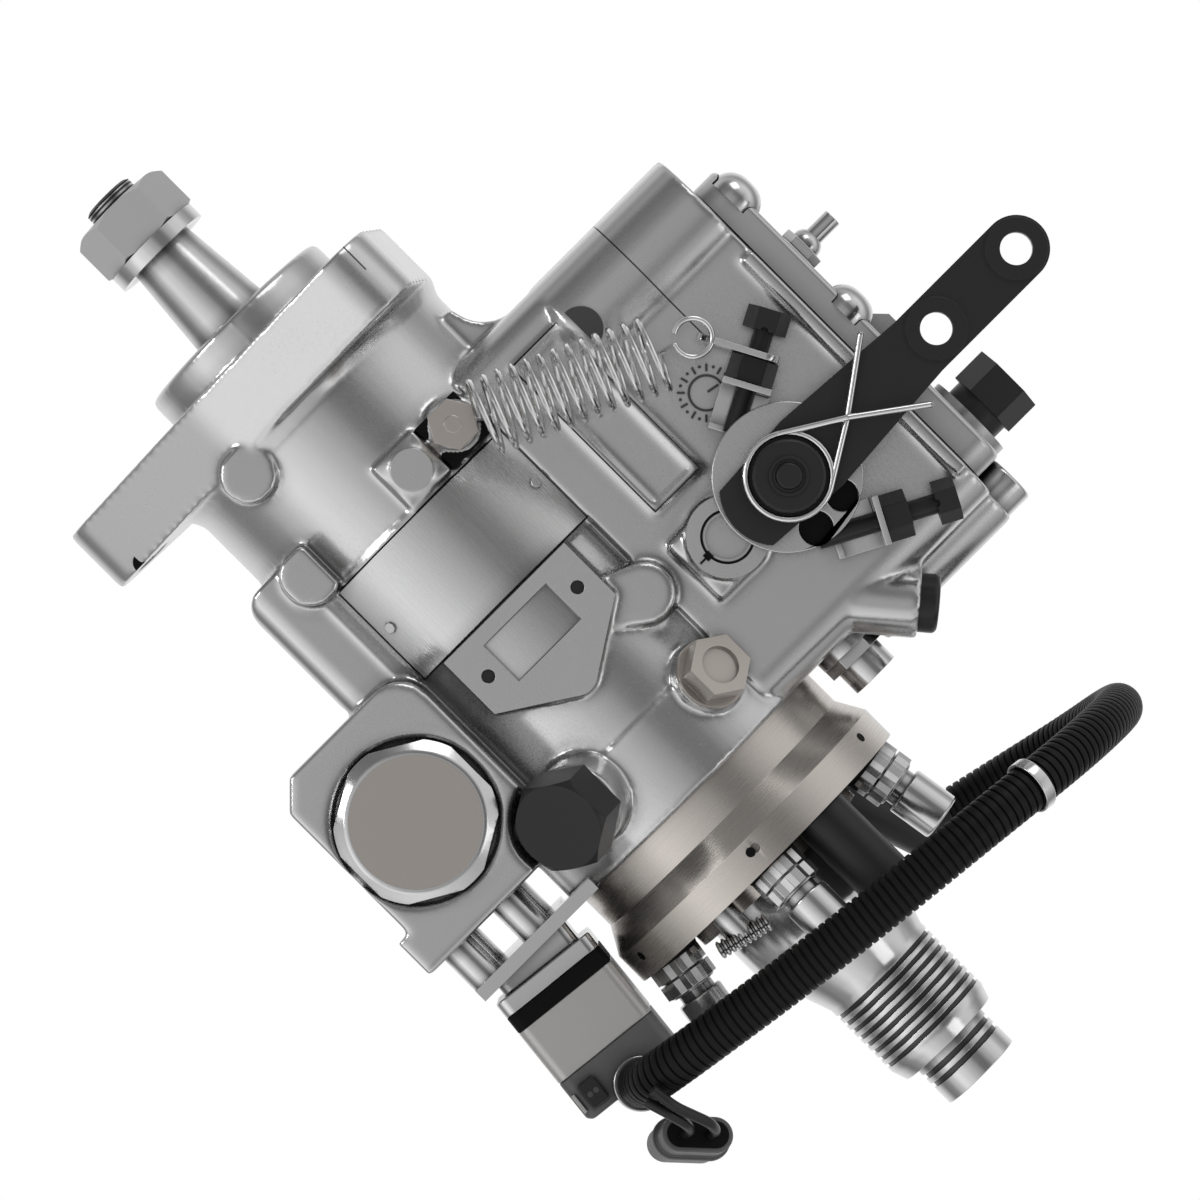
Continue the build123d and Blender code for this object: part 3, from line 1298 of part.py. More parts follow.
def shaft_nut():
    """The hex nut on the drive shaft, chamfered on both faces, and its washer."""
    end_x = TAPER_START_X - SHAFT_WASHER_LENGTH
    start_x = end_x - SHAFT_NUT_LENGTH
    nut = hexagon(SHAFT_NUT_FLATS, (start_x, 0, 0), ALONG_X, SHAFT_NUT_LENGTH, UPWARD)
    flat = SHAFT_NUT_FLATS / 2
    nut &= turned(
        (start_x, 0),
        (start_x, flat),
        (start_x + SHAFT_NUT_BEVEL, flat + SHAFT_NUT_CORNER),
        (end_x - SHAFT_THREAD_BEVEL, flat + SHAFT_NUT_CORNER),
        (end_x, flat + SHAFT_NUT_REAR_STEP),
        (end_x, 0),
    )
    nut -= rod_x(SHAFT_THREAD_RADIUS + SEAT_GAP, start_x - 1, end_x + 1)
    return Compound(children=[nut, shaft_washer()])


def shaft_washer():
    """The thick washer between the nut and the taper."""
    start_x = TAPER_START_X - SHAFT_WASHER_LENGTH
    washer = rod_x(SHAFT_WASHER_RADIUS, start_x, TAPER_START_X)
    return washer - rod_x(SHAFT_THREAD_RADIUS + SEAT_GAP, start_x - 1, TAPER_START_X + 1)


def drive_bearing():
    """The sleeve bearing of the drive shaft in the flange."""
    start_x = 1 - PILOT_LENGTH + SEAL_LENGTH
    bearing = rod_x(BEARING_RADIUS, start_x, start_x + BEARING_LENGTH)
    return bearing - rod_x(JOURNAL_RADIUS + RUN_GAP / 2, start_x - 1, start_x + BEARING_LENGTH + 1)


def seals():
    """The shaft seal, the head's seal ring, the fittings' seals and the actuator gasket."""
    start_x = 1 - PILOT_LENGTH
    shaft_seal = rod_x(SEAL_BORE_RADIUS, start_x, start_x + SEAL_LENGTH)
    shaft_seal -= rod_x(JOURNAL_RADIUS + RUN_GAP / 2, start_x - 1, start_x + SEAL_LENGTH + 1)
    groove_x = SPIGOT_START_X + SEAL_RING_INSET
    ring = rod_x(SPIGOT_RADIUS, groove_x, groove_x + 2 * SEAL_RING_RADIUS)
    ring -= rod_x(
        SPIGOT_RADIUS - 2 * SEAL_RING_RADIUS, groove_x - 1, groove_x + 3 * SEAL_RING_RADIUS
    )
    gasket_start = ACTUATOR_NECK_LENGTH + ACTUATOR_BASE_LENGTH
    gasket = actuator_block(gasket_start, ACTUATOR_GASKET_LENGTH)
    pieces = [shaft_seal, ring, gasket, cover_gasket()]
    for angle in FITTING_ANGLES:
        start, out = fitting_axis(angle)
        pieces.append(rod(FITTING_SEAL_RADIUS, start, out, FITTING_SEAL_LENGTH) - head_rear())
    return Compound(children=pieces)


def head_rear():
    """The space in front of the head's rear face, and the rear boss on it."""
    filled = rod_x(HEAD_RING_RADIUS + 1, HEAD_CONE_END_X, HEAD_RING_END_X)
    return filled + rod_x(
        HEAD_REAR_BOSS_RADIUS + SEAT_GAP, HEAD_CONE_END_X, HEAD_REAR_BOSS_END_X
    )


def fitting_axis(angle):
    """Where a discharge fitting starts on the head, and its direction, tilted outward."""
    out = around(angle)
    start = at_radius(HEAD_RING_END_X - 1, FITTING_CIRCLE_RADIUS, angle)
    tilt = math.radians(FITTING_TILT)
    direction = (math.cos(tilt), math.sin(tilt) * out[1], math.sin(tilt) * out[2])
    return start, direction


def along(start, direction, distance):
    """The point at a distance along a direction."""
    return tuple(place + step * distance for place, step in zip(start, direction))


def discharge_fittings():
    """The delivery fittings, each a double hex with a neck, and the knurled plug."""
    pieces = []
    for angle in FITTING_ANGLES:
        start, out = fitting_axis(angle)
        hex_start = FITTING_SEAL_LENGTH
        neck_end = hex_start + 2 * FITTING_HEX_LENGTH + FITTING_NECK_LENGTH
        body = hexagon(
            FITTING_FLATS, along(start, out, hex_start), out, FITTING_HEX_LENGTH - FITTING_HEX_GROOVE
        )
        neck_start = along(start, out, hex_start)
        body += rod(FITTING_NECK_RADIUS, neck_start, out, neck_end - hex_start)
        body += hexagon(
            FITTING_FLATS,
            along(start, out, hex_start + FITTING_HEX_LENGTH),
            out,
            FITTING_HEX_LENGTH - FITTING_HEX_GROOVE,
        )
        bore_start = along(start, out, neck_end - FITTING_BORE_DEPTH)
        body -= rod(SLEEVE_BORE_RADIUS, bore_start, out, FITTING_BORE_DEPTH + 1)
        pieces.append(body - head_rear())
    start = at_radius(HEAD_RING_END_X, FITTING_CIRCLE_RADIUS, KNURL_ANGLE)
    pieces.append(rod(KNURL_RADIUS, start, ALONG_X, KNURL_LENGTH))
    return Compound(children=pieces)


def discharge_sleeves():
    """The bright sleeves on the delivery fittings."""
    pieces = []
    for angle in FITTING_ANGLES:
        start, out = fitting_axis(angle)
        begin = FITTING_SEAL_LENGTH + 2 * FITTING_HEX_LENGTH + FITTING_NECK_LENGTH
        sleeve = rod(SLEEVE_RADIUS, along(start, out, begin), out, SLEEVE_LENGTH)
        sleeve -= rod(SLEEVE_BORE_RADIUS, along(start, out, begin - 1), out, SLEEVE_LENGTH + 2)
        pieces.append(sleeve)
    return Compound(children=pieces)


def rear_solenoids():
    """The two round solenoids on the rear face of the head."""
    near_start = at_radius(HEAD_RING_END_X, FITTING_CIRCLE_RADIUS, NEAR_SOLENOID_ANGLE)
    near = rod(SOLENOID_RADIUS, near_start, ALONG_X, SOLENOID_LENGTH)
    far_x = HEAD_RING_END_X - FAR_SOLENOID_SINK
    far_start = Vector(*at_radius(far_x, FITTING_CIRCLE_RADIUS, FAR_SOLENOID_ANGLE))
    end, inward, elbow = solenoid_boot()
    run = elbow - far_start
    far = rod(SOLENOID_RADIUS, far_start, run, run.length)
    far += Pos(*elbow) * Sphere(SOLENOID_RADIUS)
    far += rod(BAND_RADIUS, end, inward, BOOT_LENGTH)
    return Compound(children=[near, far - head_rear()])


def hydraulic_head():
    """The head: spigot, cone, ring with its radial holes and the rear boss."""
    head = turned(
        (SPIGOT_START_X, 0),
        (SPIGOT_START_X, SPIGOT_RADIUS),
        (HOUSING_END_X, SPIGOT_RADIUS),
        (HOUSING_END_X, HEAD_RADIUS),
        (HEAD_CONE_START_X, HEAD_RADIUS),
        (HEAD_CONE_END_X, HEAD_RING_RADIUS),
        (HEAD_RING_END_X, HEAD_RING_RADIUS),
        (HEAD_RING_END_X, HEAD_REAR_BOSS_RADIUS),
        (HEAD_REAR_BOSS_END_X, HEAD_REAR_BOSS_RADIUS),
        (HEAD_REAR_BOSS_END_X, 0),
    )
    head -= rod_x(ROTOR_RADIUS + RUN_GAP / 2, SPIGOT_START_X - 1, HEAD_REAR_BOSS_END_X + 1)
    groove_x = SPIGOT_START_X + SEAL_RING_INSET
    groove_end_x = groove_x + 2 * SEAL_RING_RADIUS + SEAL_GROOVE_PLAY
    groove = rod_x(SPIGOT_RADIUS + 1, groove_x - SEAL_GROOVE_PLAY, groove_end_x)
    floor_radius = SPIGOT_RADIUS - 2 * SEAL_RING_RADIUS - SEAT_GAP
    groove -= rod_x(floor_radius, groove_x - 1, groove_end_x + 1)
    head -= groove
    for hole in range(HEAD_RING_HOLES):
        angle = 360 / HEAD_RING_HOLES * hole
        start = at_radius(HEAD_RING_HOLE_X, HEAD_RING_RADIUS - HEAD_RING_HOLE_DEPTH, angle)
        head -= rod(HEAD_RING_HOLE_RADIUS, start, around(angle), HEAD_RING_HOLE_DEPTH + 1)
    head -= rod_z(
        METERING_RADIUS + RUN_GAP / 2, METERING_X, METERING_Y, METERING_LOW_Z - AIR_GAP, SPIGOT_RADIUS
    )
    return head


def end_cap():
    """The end cap: a smooth neck, the ringed inlet, the grooved stub and the inlet bore."""
    outline = [
        (HEAD_REAR_BOSS_END_X, 0),
        (HEAD_REAR_BOSS_END_X, CAP_RADIUS),
        (CAP_END_X, CAP_RADIUS),
        (CAP_NECK_X, INLET_RADIUS),
        (INLET_RINGS_END_X, INLET_RADIUS),
        (INLET_CONE_END_X, INLET_CONE_RADIUS),
        (INLET_CONE_END_X, STUB_RADIUS),
        (STUB_END_X, STUB_RADIUS),
        (STUB_END_X, 0),
    ]
    cap = turned(*outline)
    pitch = (INLET_RINGS_END_X - INLET_RINGS_START_X) / INLET_RINGS
    for ring in range(INLET_RINGS):
        start_x = INLET_RINGS_START_X + ring * pitch
        groove = rod_x(INLET_RADIUS + 1, start_x, start_x + pitch * INLET_RING_GROOVE_SHARE)
        cap -= groove - rod_x(INLET_RADIUS - INLET_RING_DEPTH, start_x - 1, start_x + pitch)
    for start_x in STUB_GROOVE_XS:
        groove = rod_x(STUB_RADIUS + 1, start_x, start_x + STUB_GROOVE_WIDTH)
        floor_radius = STUB_RADIUS - STUB_GROOVE_DEPTH
        cap -= groove - rod_x(floor_radius, start_x - 1, start_x + 2 * STUB_GROOVE_WIDTH)
    pump_end_x = ROTOR_END_X + PUMP_END_PLAY
    bore_start_x = STUB_END_X - INLET_BORE_DEPTH
    cap -= rod_x(LINER_RADIUS + SEAT_GAP, HEAD_REAR_BOSS_END_X - 1, pump_end_x)
    cap -= rod_x(REGULATOR_RADIUS + SEAT_GAP, pump_end_x - 1, bore_start_x + 1)
    return cap - rod_x(INLET_BORE_RADIUS, bore_start_x, STUB_END_X + 1)


def transfer_liner():
    """The transfer pump liner with its offset bore."""
    liner = rod_x(LINER_RADIUS, HEAD_REAR_BOSS_END_X + AIR_GAP, ROTOR_END_X)
    return liner - rod_x(
        LINER_BORE_RADIUS, HEAD_REAR_BOSS_END_X - 1, ROTOR_END_X + 1, 0, LINER_OFFSET
    )


def blade_slots(thickness, reach, start_x):
    """Four slots or blades crossing at the rotor's end."""
    half = thickness / 2
    slots = block(start_x, ROTOR_END_X, -reach, reach, -half, half)
    return slots + block(start_x, ROTOR_END_X, -half, half, -reach, reach)


def transfer_blades():
    """The four blades in the rotor's end, drawn in."""
    start_x = HEAD_REAR_BOSS_END_X + 2 * AIR_GAP
    blades = blade_slots(BLADE_THICKNESS, BLADE_REACH, start_x)
    centre = rod_x(BLADE_INNER_RADIUS, start_x - 1, ROTOR_END_X + 1)
    return blades - centre


def rotor():
    """The rotor: hub with the tang slot, plunger drum and the long distributor journal."""
    body = turned(
        (ROTOR_HUB_START_X, 0),
        (ROTOR_HUB_START_X, ROTOR_HUB_RADIUS),
        (ROTOR_DRUM_START_X, ROTOR_HUB_RADIUS),
        (ROTOR_DRUM_START_X, ROTOR_DRUM_RADIUS),
        (ROTOR_DRUM_END_X, ROTOR_DRUM_RADIUS),
        (ROTOR_DRUM_END_X, ROTOR_RADIUS),
        (ROTOR_END_X, ROTOR_RADIUS),
        (ROTOR_END_X, 0),
    )
    half_slot = SHAFT_TANG_WIDTH / 2 + RUN_GAP
    slot_end_x = ROTOR_HUB_START_X + ROTOR_SLOT_DEPTH
    half_reach = 2 * JOURNAL_RADIUS
    slot = block(
        ROTOR_HUB_START_X - 1, slot_end_x, -half_reach, half_reach, -half_slot, half_slot
    )
    body -= slot & rod_x(JOURNAL_RADIUS + RUN_GAP, ROTOR_HUB_START_X - 1, slot_end_x)
    middle_x = (ROTOR_DRUM_START_X + ROTOR_DRUM_END_X) / 2
    body -= rod_y(PLUNGER_RADIUS + SEAT_GAP, middle_x, 0, -ROTOR_DRUM_RADIUS, ROTOR_DRUM_RADIUS)
    half_length = SHOE_LENGTH / 2 + RUN_GAP
    half_width = SHOE_WIDTH / 2 + RUN_GAP
    floor = SHOE_INNER - CAM_LOBE_HEIGHT - AIR_GAP
    for side in (-1, 1):
        ends = sorted((side * floor, side * (ROTOR_DRUM_RADIUS + 1)))
        body -= block(
            middle_x - half_length, middle_x + half_length, *ends, -half_width, half_width
        )
    return body - blade_slots(
        BLADE_THICKNESS + RUN_GAP, ROTOR_RADIUS + 1, HEAD_REAR_BOSS_END_X + AIR_GAP
    )


def plunger(side):
    """One pumping plunger with its shoe and roller, on one side of the rotor."""
    middle_x = (ROTOR_DRUM_START_X + ROTOR_DRUM_END_X) / 2
    out = (0, side, 0)
    pin = rod(PLUNGER_RADIUS, (middle_x, side * PLUNGER_INNER, 0), out, SHOE_INNER - PLUNGER_INNER)
    roller_centre = CAM_VALLEY_RADIUS - ROLLER_RADIUS - RUN_GAP
    ends = sorted((side * SHOE_INNER, side * SHOE_OUTER))
    half_length = SHOE_LENGTH / 2
    start_x = middle_x - half_length
    end_x = middle_x + half_length
    shoe = block(start_x, end_x, *ends, -SHOE_WIDTH / 2, SHOE_WIDTH / 2)
    shoe -= rod_x(ROLLER_RADIUS + SEAT_GAP, start_x - 1, end_x + 1, side * roller_centre, 0)
    roller = rod_x(ROLLER_RADIUS, start_x, end_x, side * roller_centre, 0)
    return Compound(children=[pin, shoe, roller])


def weight_cage():
    """The governor cage on the rotor's front, with two lugs for each weight."""
    start_x = ROTOR_HUB_START_X - CAGE_DISC_THICKNESS
    cage = rod_x(CAGE_DISC_RADIUS, start_x, ROTOR_HUB_START_X)
    lug_inner = WEIGHT_HALF_WIDTH + AIR_GAP
    lug_outer = lug_inner + CAGE_LUG_THICKNESS
    margin = WEIGHT_PIN_RADIUS + CAGE_LUG_MARGIN
    for weight in range(WEIGHTS):
        turn = Rot(360 / WEIGHTS * weight, 0, 0)
        for side in (-1, 1):
            ends = sorted((side * lug_inner, side * lug_outer))
            lug = block(
                WEIGHT_PIVOT_X - margin,
                start_x + 1,
                *ends,
                WEIGHT_PIVOT_RADIUS - margin,
                WEIGHT_PIVOT_RADIUS + margin,
            )
            cage += turn * lug
        cage -= turn * rod_y(
            WEIGHT_PIN_RADIUS + SEAT_GAP, WEIGHT_PIVOT_X, WEIGHT_PIVOT_RADIUS, -lug_outer - 1,
            lug_outer + 1
        )
    return cage - rod_x(JOURNAL_RADIUS + SEAT_GAP, start_x - 1, ROTOR_HUB_START_X + 1)


def flyweight(index):
    """One governor weight with its toe and its pivot pin."""
    body = block(
        WEIGHT_START_X,
        WEIGHT_END_X,
        -WEIGHT_HALF_WIDTH,
        WEIGHT_HALF_WIDTH,
        WEIGHT_INNER_RADIUS,
        WEIGHT_OUTER_RADIUS,
    )
    body += block(
        WEIGHT_END_X - 1,
        WEIGHT_END_X + WEIGHT_TOE_LENGTH,
        -WEIGHT_HALF_WIDTH + WEIGHT_TOE_INSET,
        WEIGHT_HALF_WIDTH - WEIGHT_TOE_INSET,
        WEIGHT_INNER_RADIUS,
        WEIGHT_OUTER_RADIUS - WEIGHT_TOE_INSET,
    )
    body += block(
        WEIGHT_END_X,
        WEIGHT_END_X + WEIGHT_TOE_LENGTH,
        -WEIGHT_HALF_WIDTH + WEIGHT_TOE_INSET,
        WEIGHT_HALF_WIDTH - WEIGHT_TOE_INSET,
        WEIGHT_TOE_RADIUS,
        WEIGHT_INNER_RADIUS + 1,
    )
    pin_reach = WEIGHT_HALF_WIDTH + AIR_GAP + CAGE_LUG_THICKNESS
    body += rod_y(WEIGHT_PIN_RADIUS, WEIGHT_PIVOT_X, WEIGHT_PIVOT_RADIUS, -pin_reach, pin_reach)
    return Rot(360 / WEIGHTS * index, 0, 0) * body


def thrust_sleeve():
    """The sleeve that the weights push along the shaft."""
    sleeve = turned(
        (SLEEVE_START_X, 0),
        (SLEEVE_START_X, SLEEVE_FRONT_RADIUS),
        (SLEEVE_START_X + SLEEVE_FLANGE_LENGTH, SLEEVE_FRONT_RADIUS),
        (SLEEVE_START_X + SLEEVE_FLANGE_LENGTH, SLEEVE_TUBE_RADIUS),
        (SLEEVE_REAR_X - SLEEVE_FLANGE_LENGTH, SLEEVE_TUBE_RADIUS),
        (SLEEVE_REAR_X - SLEEVE_FLANGE_LENGTH, SLEEVE_FLANGE_RADIUS),
        (SLEEVE_REAR_X, SLEEVE_FLANGE_RADIUS),
        (SLEEVE_REAR_X, 0),
    )
    return sleeve - rod_x(JOURNAL_RADIUS + RUN_GAP, SLEEVE_START_X - 1, SLEEVE_REAR_X + 1)


def governor_arm():
    """The forked arm that the thrust sleeve tilts, with its pivot pin and pads."""
    half = ARM_THICKNESS / 2
    arm = block(
        ARM_PIVOT_X - half,
        ARM_PIVOT_X + half,
        -ARM_HALF_WIDTH,
        ARM_HALF_WIDTH,
        ARM_FOOT_Z,
        ARM_PIVOT_Z + ARM_BOSS_HEIGHT,
    )
    arm -= block(
        ARM_PIVOT_X - ARM_THICKNESS,
        ARM_PIVOT_X + ARM_THICKNESS,
        -ARM_FORK_GAP,
        ARM_FORK_GAP,
        ARM_FOOT_Z - 1,
        ARM_FORK_GAP + ARM_BOSS_HEIGHT,
    )
    arm += block(
        ARM_PIVOT_X - half,
        ARM_PIVOT_X + half,
        -ARM_STEM_HALF_WIDTH,
        ARM_STEM_HALF_WIDTH,
        ARM_PIVOT_Z,
        ARM_TOP_Z,
    )
    pin_end = GOVERNOR_HALF_WIDTH - GOVERNOR_WALL / 2 - AIR_GAP
    arm += rod_y(ARM_PIN_RADIUS, ARM_PIVOT_X, ARM_PIVOT_Z, -pin_end, pin_end)
    for side in (-1, 1):
        inner = min(side * ARM_FORK_GAP, side * ARM_HALF_WIDTH)
        outer = max(side * ARM_FORK_GAP, side * ARM_HALF_WIDTH)
        arm += rod_y(ARM_PAD_RADIUS, ARM_PIVOT_X + ARM_PAD_OFFSET, 0, inner, outer)
    return arm


def metering_valve():
    """The metering valve in the head with its small arm."""
    valve = rod_z(METERING_RADIUS, METERING_X, METERING_Y, METERING_LOW_Z, METERING_ARM_Z)
    arm = block(
        METERING_X - METERING_ARM_HALF_WIDTH,
        METERING_X + METERING_ARM_HALF_WIDTH,
        METERING_Y - METERING_ARM_LENGTH,
        METERING_Y + METERING_ARM_HALF_WIDTH,
        METERING_ARM_Z,
        METERING_ARM_Z + METERING_ARM_THICKNESS,
    )
    return valve + arm


def regulator_piston():
    """The pressure regulator piston in the end cap."""
    start_x = ROTOR_END_X + REGULATOR_GAP
    return rod_x(REGULATOR_RADIUS, start_x, start_x + REGULATOR_LENGTH)


def throttle_lever():
    """The long lever with its two rod holes."""
    foot_z = PIVOT_Z - LEVER_FOOT_DROP
    top_z = PIVOT_Z + LEVER_UPPER_HOLE
    foot = ThreePointArc(
        (PIVOT_X - LEVER_FOOT_HALF, foot_z),
        (PIVOT_X, foot_z - LEVER_FOOT_SAG),
        (PIVOT_X + LEVER_FOOT_HALF, foot_z),
    )
    head = ThreePointArc(
        (PIVOT_X + LEVER_TOP_RADIUS, top_z),
        (PIVOT_X, top_z + LEVER_TOP_RADIUS),
        (PIVOT_X - LEVER_TOP_RADIUS, top_z),
    )
    waist_z = PIVOT_Z + LEVER_LOWER_HOLE - LEVER_WAIST_DROP
    hub_z = PIVOT_Z + LEVER_WIDE_HEIGHT
    right = Polyline(
        foot @ 1, (PIVOT_X + LEVER_WIDE_HALF, hub_z), (PIVOT_X + LEVER_TOP_RADIUS, waist_z), head @ 0
    )
    left = Polyline(
        head @ 1, (PIVOT_X - LEVER_TOP_RADIUS, waist_z), (PIVOT_X - LEVER_WIDE_HALF, hub_z), foot @ 0
    )
    outer = LEVER_REACH + LEVER_THICKNESS
    lever = side_slab(make_face([foot, right, head, left]), LEVER_REACH, outer)
    for height in (LEVER_LOWER_HOLE, LEVER_UPPER_HOLE):
        hole_z = PIVOT_Z + height
        lever += rod_y(
            LEVER_HOLE_BOSS_RADIUS, PIVOT_X, hole_z, LEVER_REACH, outer + LEVER_HOLE_BOSS_PROUD
        )
        lever -= rod_y(LEVER_HOLE_RADIUS, PIVOT_X, hole_z, LEVER_REACH - 1, outer + 2)
    return lever - rod_y(
        THROTTLE_SHAFT_RADIUS + SEAT_GAP, PIVOT_X, PIVOT_Z, LEVER_REACH - 1, outer + 1
    )


def throttle_shaft():
    """The throttle shaft with its spacer collar, its hub washer and its riveted end."""
    outer = LEVER_REACH + LEVER_THICKNESS
    shaft = rod_y(THROTTLE_SHAFT_RADIUS, PIVOT_X, PIVOT_Z, THROTTLE_SHAFT_INNER_REACH + 1, outer)
    shaft += rod_y(SPACER_RADIUS, PIVOT_X, PIVOT_Z, THROTTLE_PLATE_REACH, LEVER_REACH)
    hub_top = outer + HUB_THICKNESS
    hub = rod_y(HUB_RADIUS, PIVOT_X, PIVOT_Z, outer, hub_top)
    hub = fillet(hub.faces().sort_by(Axis.Y)[0].edges(), HUB_ROUNDING)
    hub += rod_y(HUB_CENTRE_RADIUS, PIVOT_X, PIVOT_Z, hub_top - 1, hub_top + HUB_CENTRE_HEIGHT)
    return shaft + hub


def stop_tip(head, nut):
    """Where a stop screw ends beside the throttle shaft, in the (x, z) plane."""
    step_x = nut[0] - head[0]
    step_z = nut[1] - head[1]
    length = math.hypot(step_x, step_z)
    step_x /= length
    step_z /= length
    from_pivot_x = nut[0] - PIVOT_X
    from_pivot_z = nut[1] - PIVOT_Z
    inward = from_pivot_x * step_x + from_pivot_z * step_z
    beyond = from_pivot_x**2 + from_pivot_z**2 - STOP_TIP_RADIUS**2
    distance = -inward - math.sqrt(inward**2 - beyond)
    return nut[0] + distance * step_x, nut[1] + distance * step_z


def stop_frame(head, nut):
    """The local frame of a stop screw at its nut: z up the screw, y along the throttle shaft."""
    rise_x = head[0] - nut[0]
    rise_z = head[1] - nut[1]
    return Plane(
        origin=(nut[0], 0, nut[1]), x_dir=(rise_z, 0, -rise_x), z_dir=(rise_x, 0, rise_z)
    )


def stops():
    """The head and nut places of the two stop screws."""
    return ((LOW_STOP_HEAD, LOW_STOP_NUT), (HIGH_STOP_HEAD, HIGH_STOP_NUT))


def throttle_plate():
    """The disc plate behind the lever with its two holes and its two stop lugs."""
    inner = THROTTLE_PLATE_REACH - THROTTLE_PLATE_THICKNESS
    plate = rod_y(THROTTLE_PLATE_RADIUS, PIVOT_X, PIVOT_Z, inner, THROTTLE_PLATE_REACH)
    for x, z, radius in THROTTLE_PLATE_HOLES:
        plate -= rod_y(radius, PIVOT_X + x, PIVOT_Z + z, inner - 1, THROTTLE_PLATE_REACH + 1)
    middle_radius = (THROTTLE_LUG_INNER_RADIUS + THROTTLE_LUG_OUTER_RADIUS) / 2
    clear_angle = math.degrees((STOP_SCREW_RADIUS + STOP_MARGIN) / middle_radius)
    for side, (head, nut) in zip((1, -1), stops()):
        tip_x, tip_z = stop_tip(head, nut)
        tip_angle = math.degrees(math.atan2(tip_z - PIVOT_Z, tip_x - PIVOT_X))
        lug_angle = math.radians(tip_angle + side * (THROTTLE_TRAVEL + clear_angle))
        plate += rod_y(
            (THROTTLE_LUG_OUTER_RADIUS - THROTTLE_LUG_INNER_RADIUS) / 2,
            PIVOT_X + middle_radius * math.cos(lug_angle),
            PIVOT_Z + middle_radius * math.sin(lug_angle),
            inner - THROTTLE_LUG_LENGTH,
            inner,
        )
    return plate - rod_y(
        THROTTLE_SHAFT_RADIUS + SEAT_GAP, PIVOT_X, PIVOT_Z, inner - 1, THROTTLE_PLATE_REACH + 1
    )


def throttle_spring():
    """The wire round the hub with two crossed arms hooked on the lever's edges."""
    ring_y = -(LEVER_REACH + LEVER_THICKNESS + WIRE_LIFT + WIRE_RADIUS)
    ring = Pos(PIVOT_X, ring_y, PIVOT_Z) * Rot(90, 0, 0) * Torus(WIRE_RING_RADIUS, WIRE_RADIUS)
    hook_x = LEVER_WIDE_HALF + 2 * WIRE_RADIUS
    for side in (-1, 1):
        arm_y = ring_y - (side + 1) * WIRE_RADIUS
        turn = math.radians(WIRE_START_TURN)
        start_x = PIVOT_X - side * WIRE_RING_RADIUS * math.cos(turn)
        start = (start_x, ring_y, PIVOT_Z + WIRE_RING_RADIUS * math.sin(turn))
        crossing = (PIVOT_X, arm_y, PIVOT_Z + WIRE_CROSSING_HEIGHT)
        end = (PIVOT_X + side * hook_x, arm_y, PIVOT_Z + WIRE_HOOK_HEIGHT)
        back = (PIVOT_X + side * hook_x, -LEVER_REACH - 1, PIVOT_Z + WIRE_HOOK_HEIGHT)
        for low, high in ((start, crossing), (crossing, end), (end, back)):
            run = Vector(*high) - Vector(*low)
            ring += rod(WIRE_RADIUS, low, run, run.length)
            ring += Pos(*high) * Sphere(WIRE_RADIUS)
    return ring


def stop_screws():
    """The two stop screws with drilled hex heads."""
    screws = []
    for head, nut in stops():
        frame = stop_frame(head, nut)
        tip_x, tip_z = stop_tip(head, nut)
        down = math.hypot(tip_x - nut[0], tip_z - nut[1])
        up = math.hypot(head[0] - nut[0], head[1] - nut[1])
        screw = Pos(0, -STOP_SCREW_REACH, -down) * Cylinder(
            STOP_SCREW_RADIUS, down + up, align=FROM_START
        )
        hex_head = extrude(
            RegularPolygon(STOP_HEAD_FLATS / 2, 6, major_radius=False), STOP_HEAD_LENGTH
        )
        hex_head -= Rot(90, 0, 0) * Cylinder(STOP_HEAD_HOLE_RADIUS, STOP_HEAD_FLATS * 2)
        screw += Pos(0, -STOP_SCREW_REACH, up - STOP_HEAD_LENGTH / 2) * hex_head
        screws.append(frame.location * screw)
    return Compound(children=screws)


def stop_lock_nuts():
    """The lock nuts that sit on the stop brackets."""
    nuts = []
    for head, nut in stops():
        shape = extrude(
            RegularPolygon(STOP_NUT_FLATS / 2, 6, major_radius=False), STOP_NUT_LENGTH
        )
        shape -= Cylinder(STOP_SCREW_RADIUS + SEAT_GAP, STOP_NUT_LENGTH * 3)
        place = Pos(0, -STOP_SCREW_REACH, -STOP_NUT_LENGTH / 2)
        nuts.append(stop_frame(head, nut).location * place * shape)
    return Compound(children=nuts)


def stop_brackets():
    """The sheet metal brackets on the wall that carry the stop screws."""
    brackets = []
    top = -STOP_NUT_LENGTH / 2
    foot = top - BRACKET_HEIGHT
    half = BRACKET_WIDTH / 2
    wall = GOVERNOR_HALF_WIDTH
    for head, nut in stops():
        shape = block(-half, half, -wall - BRACKET_THICKNESS, -wall, foot, top)
        shape += block(-half, half, -BRACKET_TOP_REACH, -wall, top - BRACKET_THICKNESS, top)
        shape += block(-half, half, -BRACKET_FOOT_REACH, -wall, foot, foot + BRACKET_THICKNESS)
        shape -= Pos(0, -STOP_SCREW_REACH, top) * Cylinder(
            STOP_SCREW_RADIUS + SEAT_GAP, 4 * BRACKET_THICKNESS
        )
        brackets.append(stop_frame(head, nut).location * shape)
    return Compound(children=brackets)


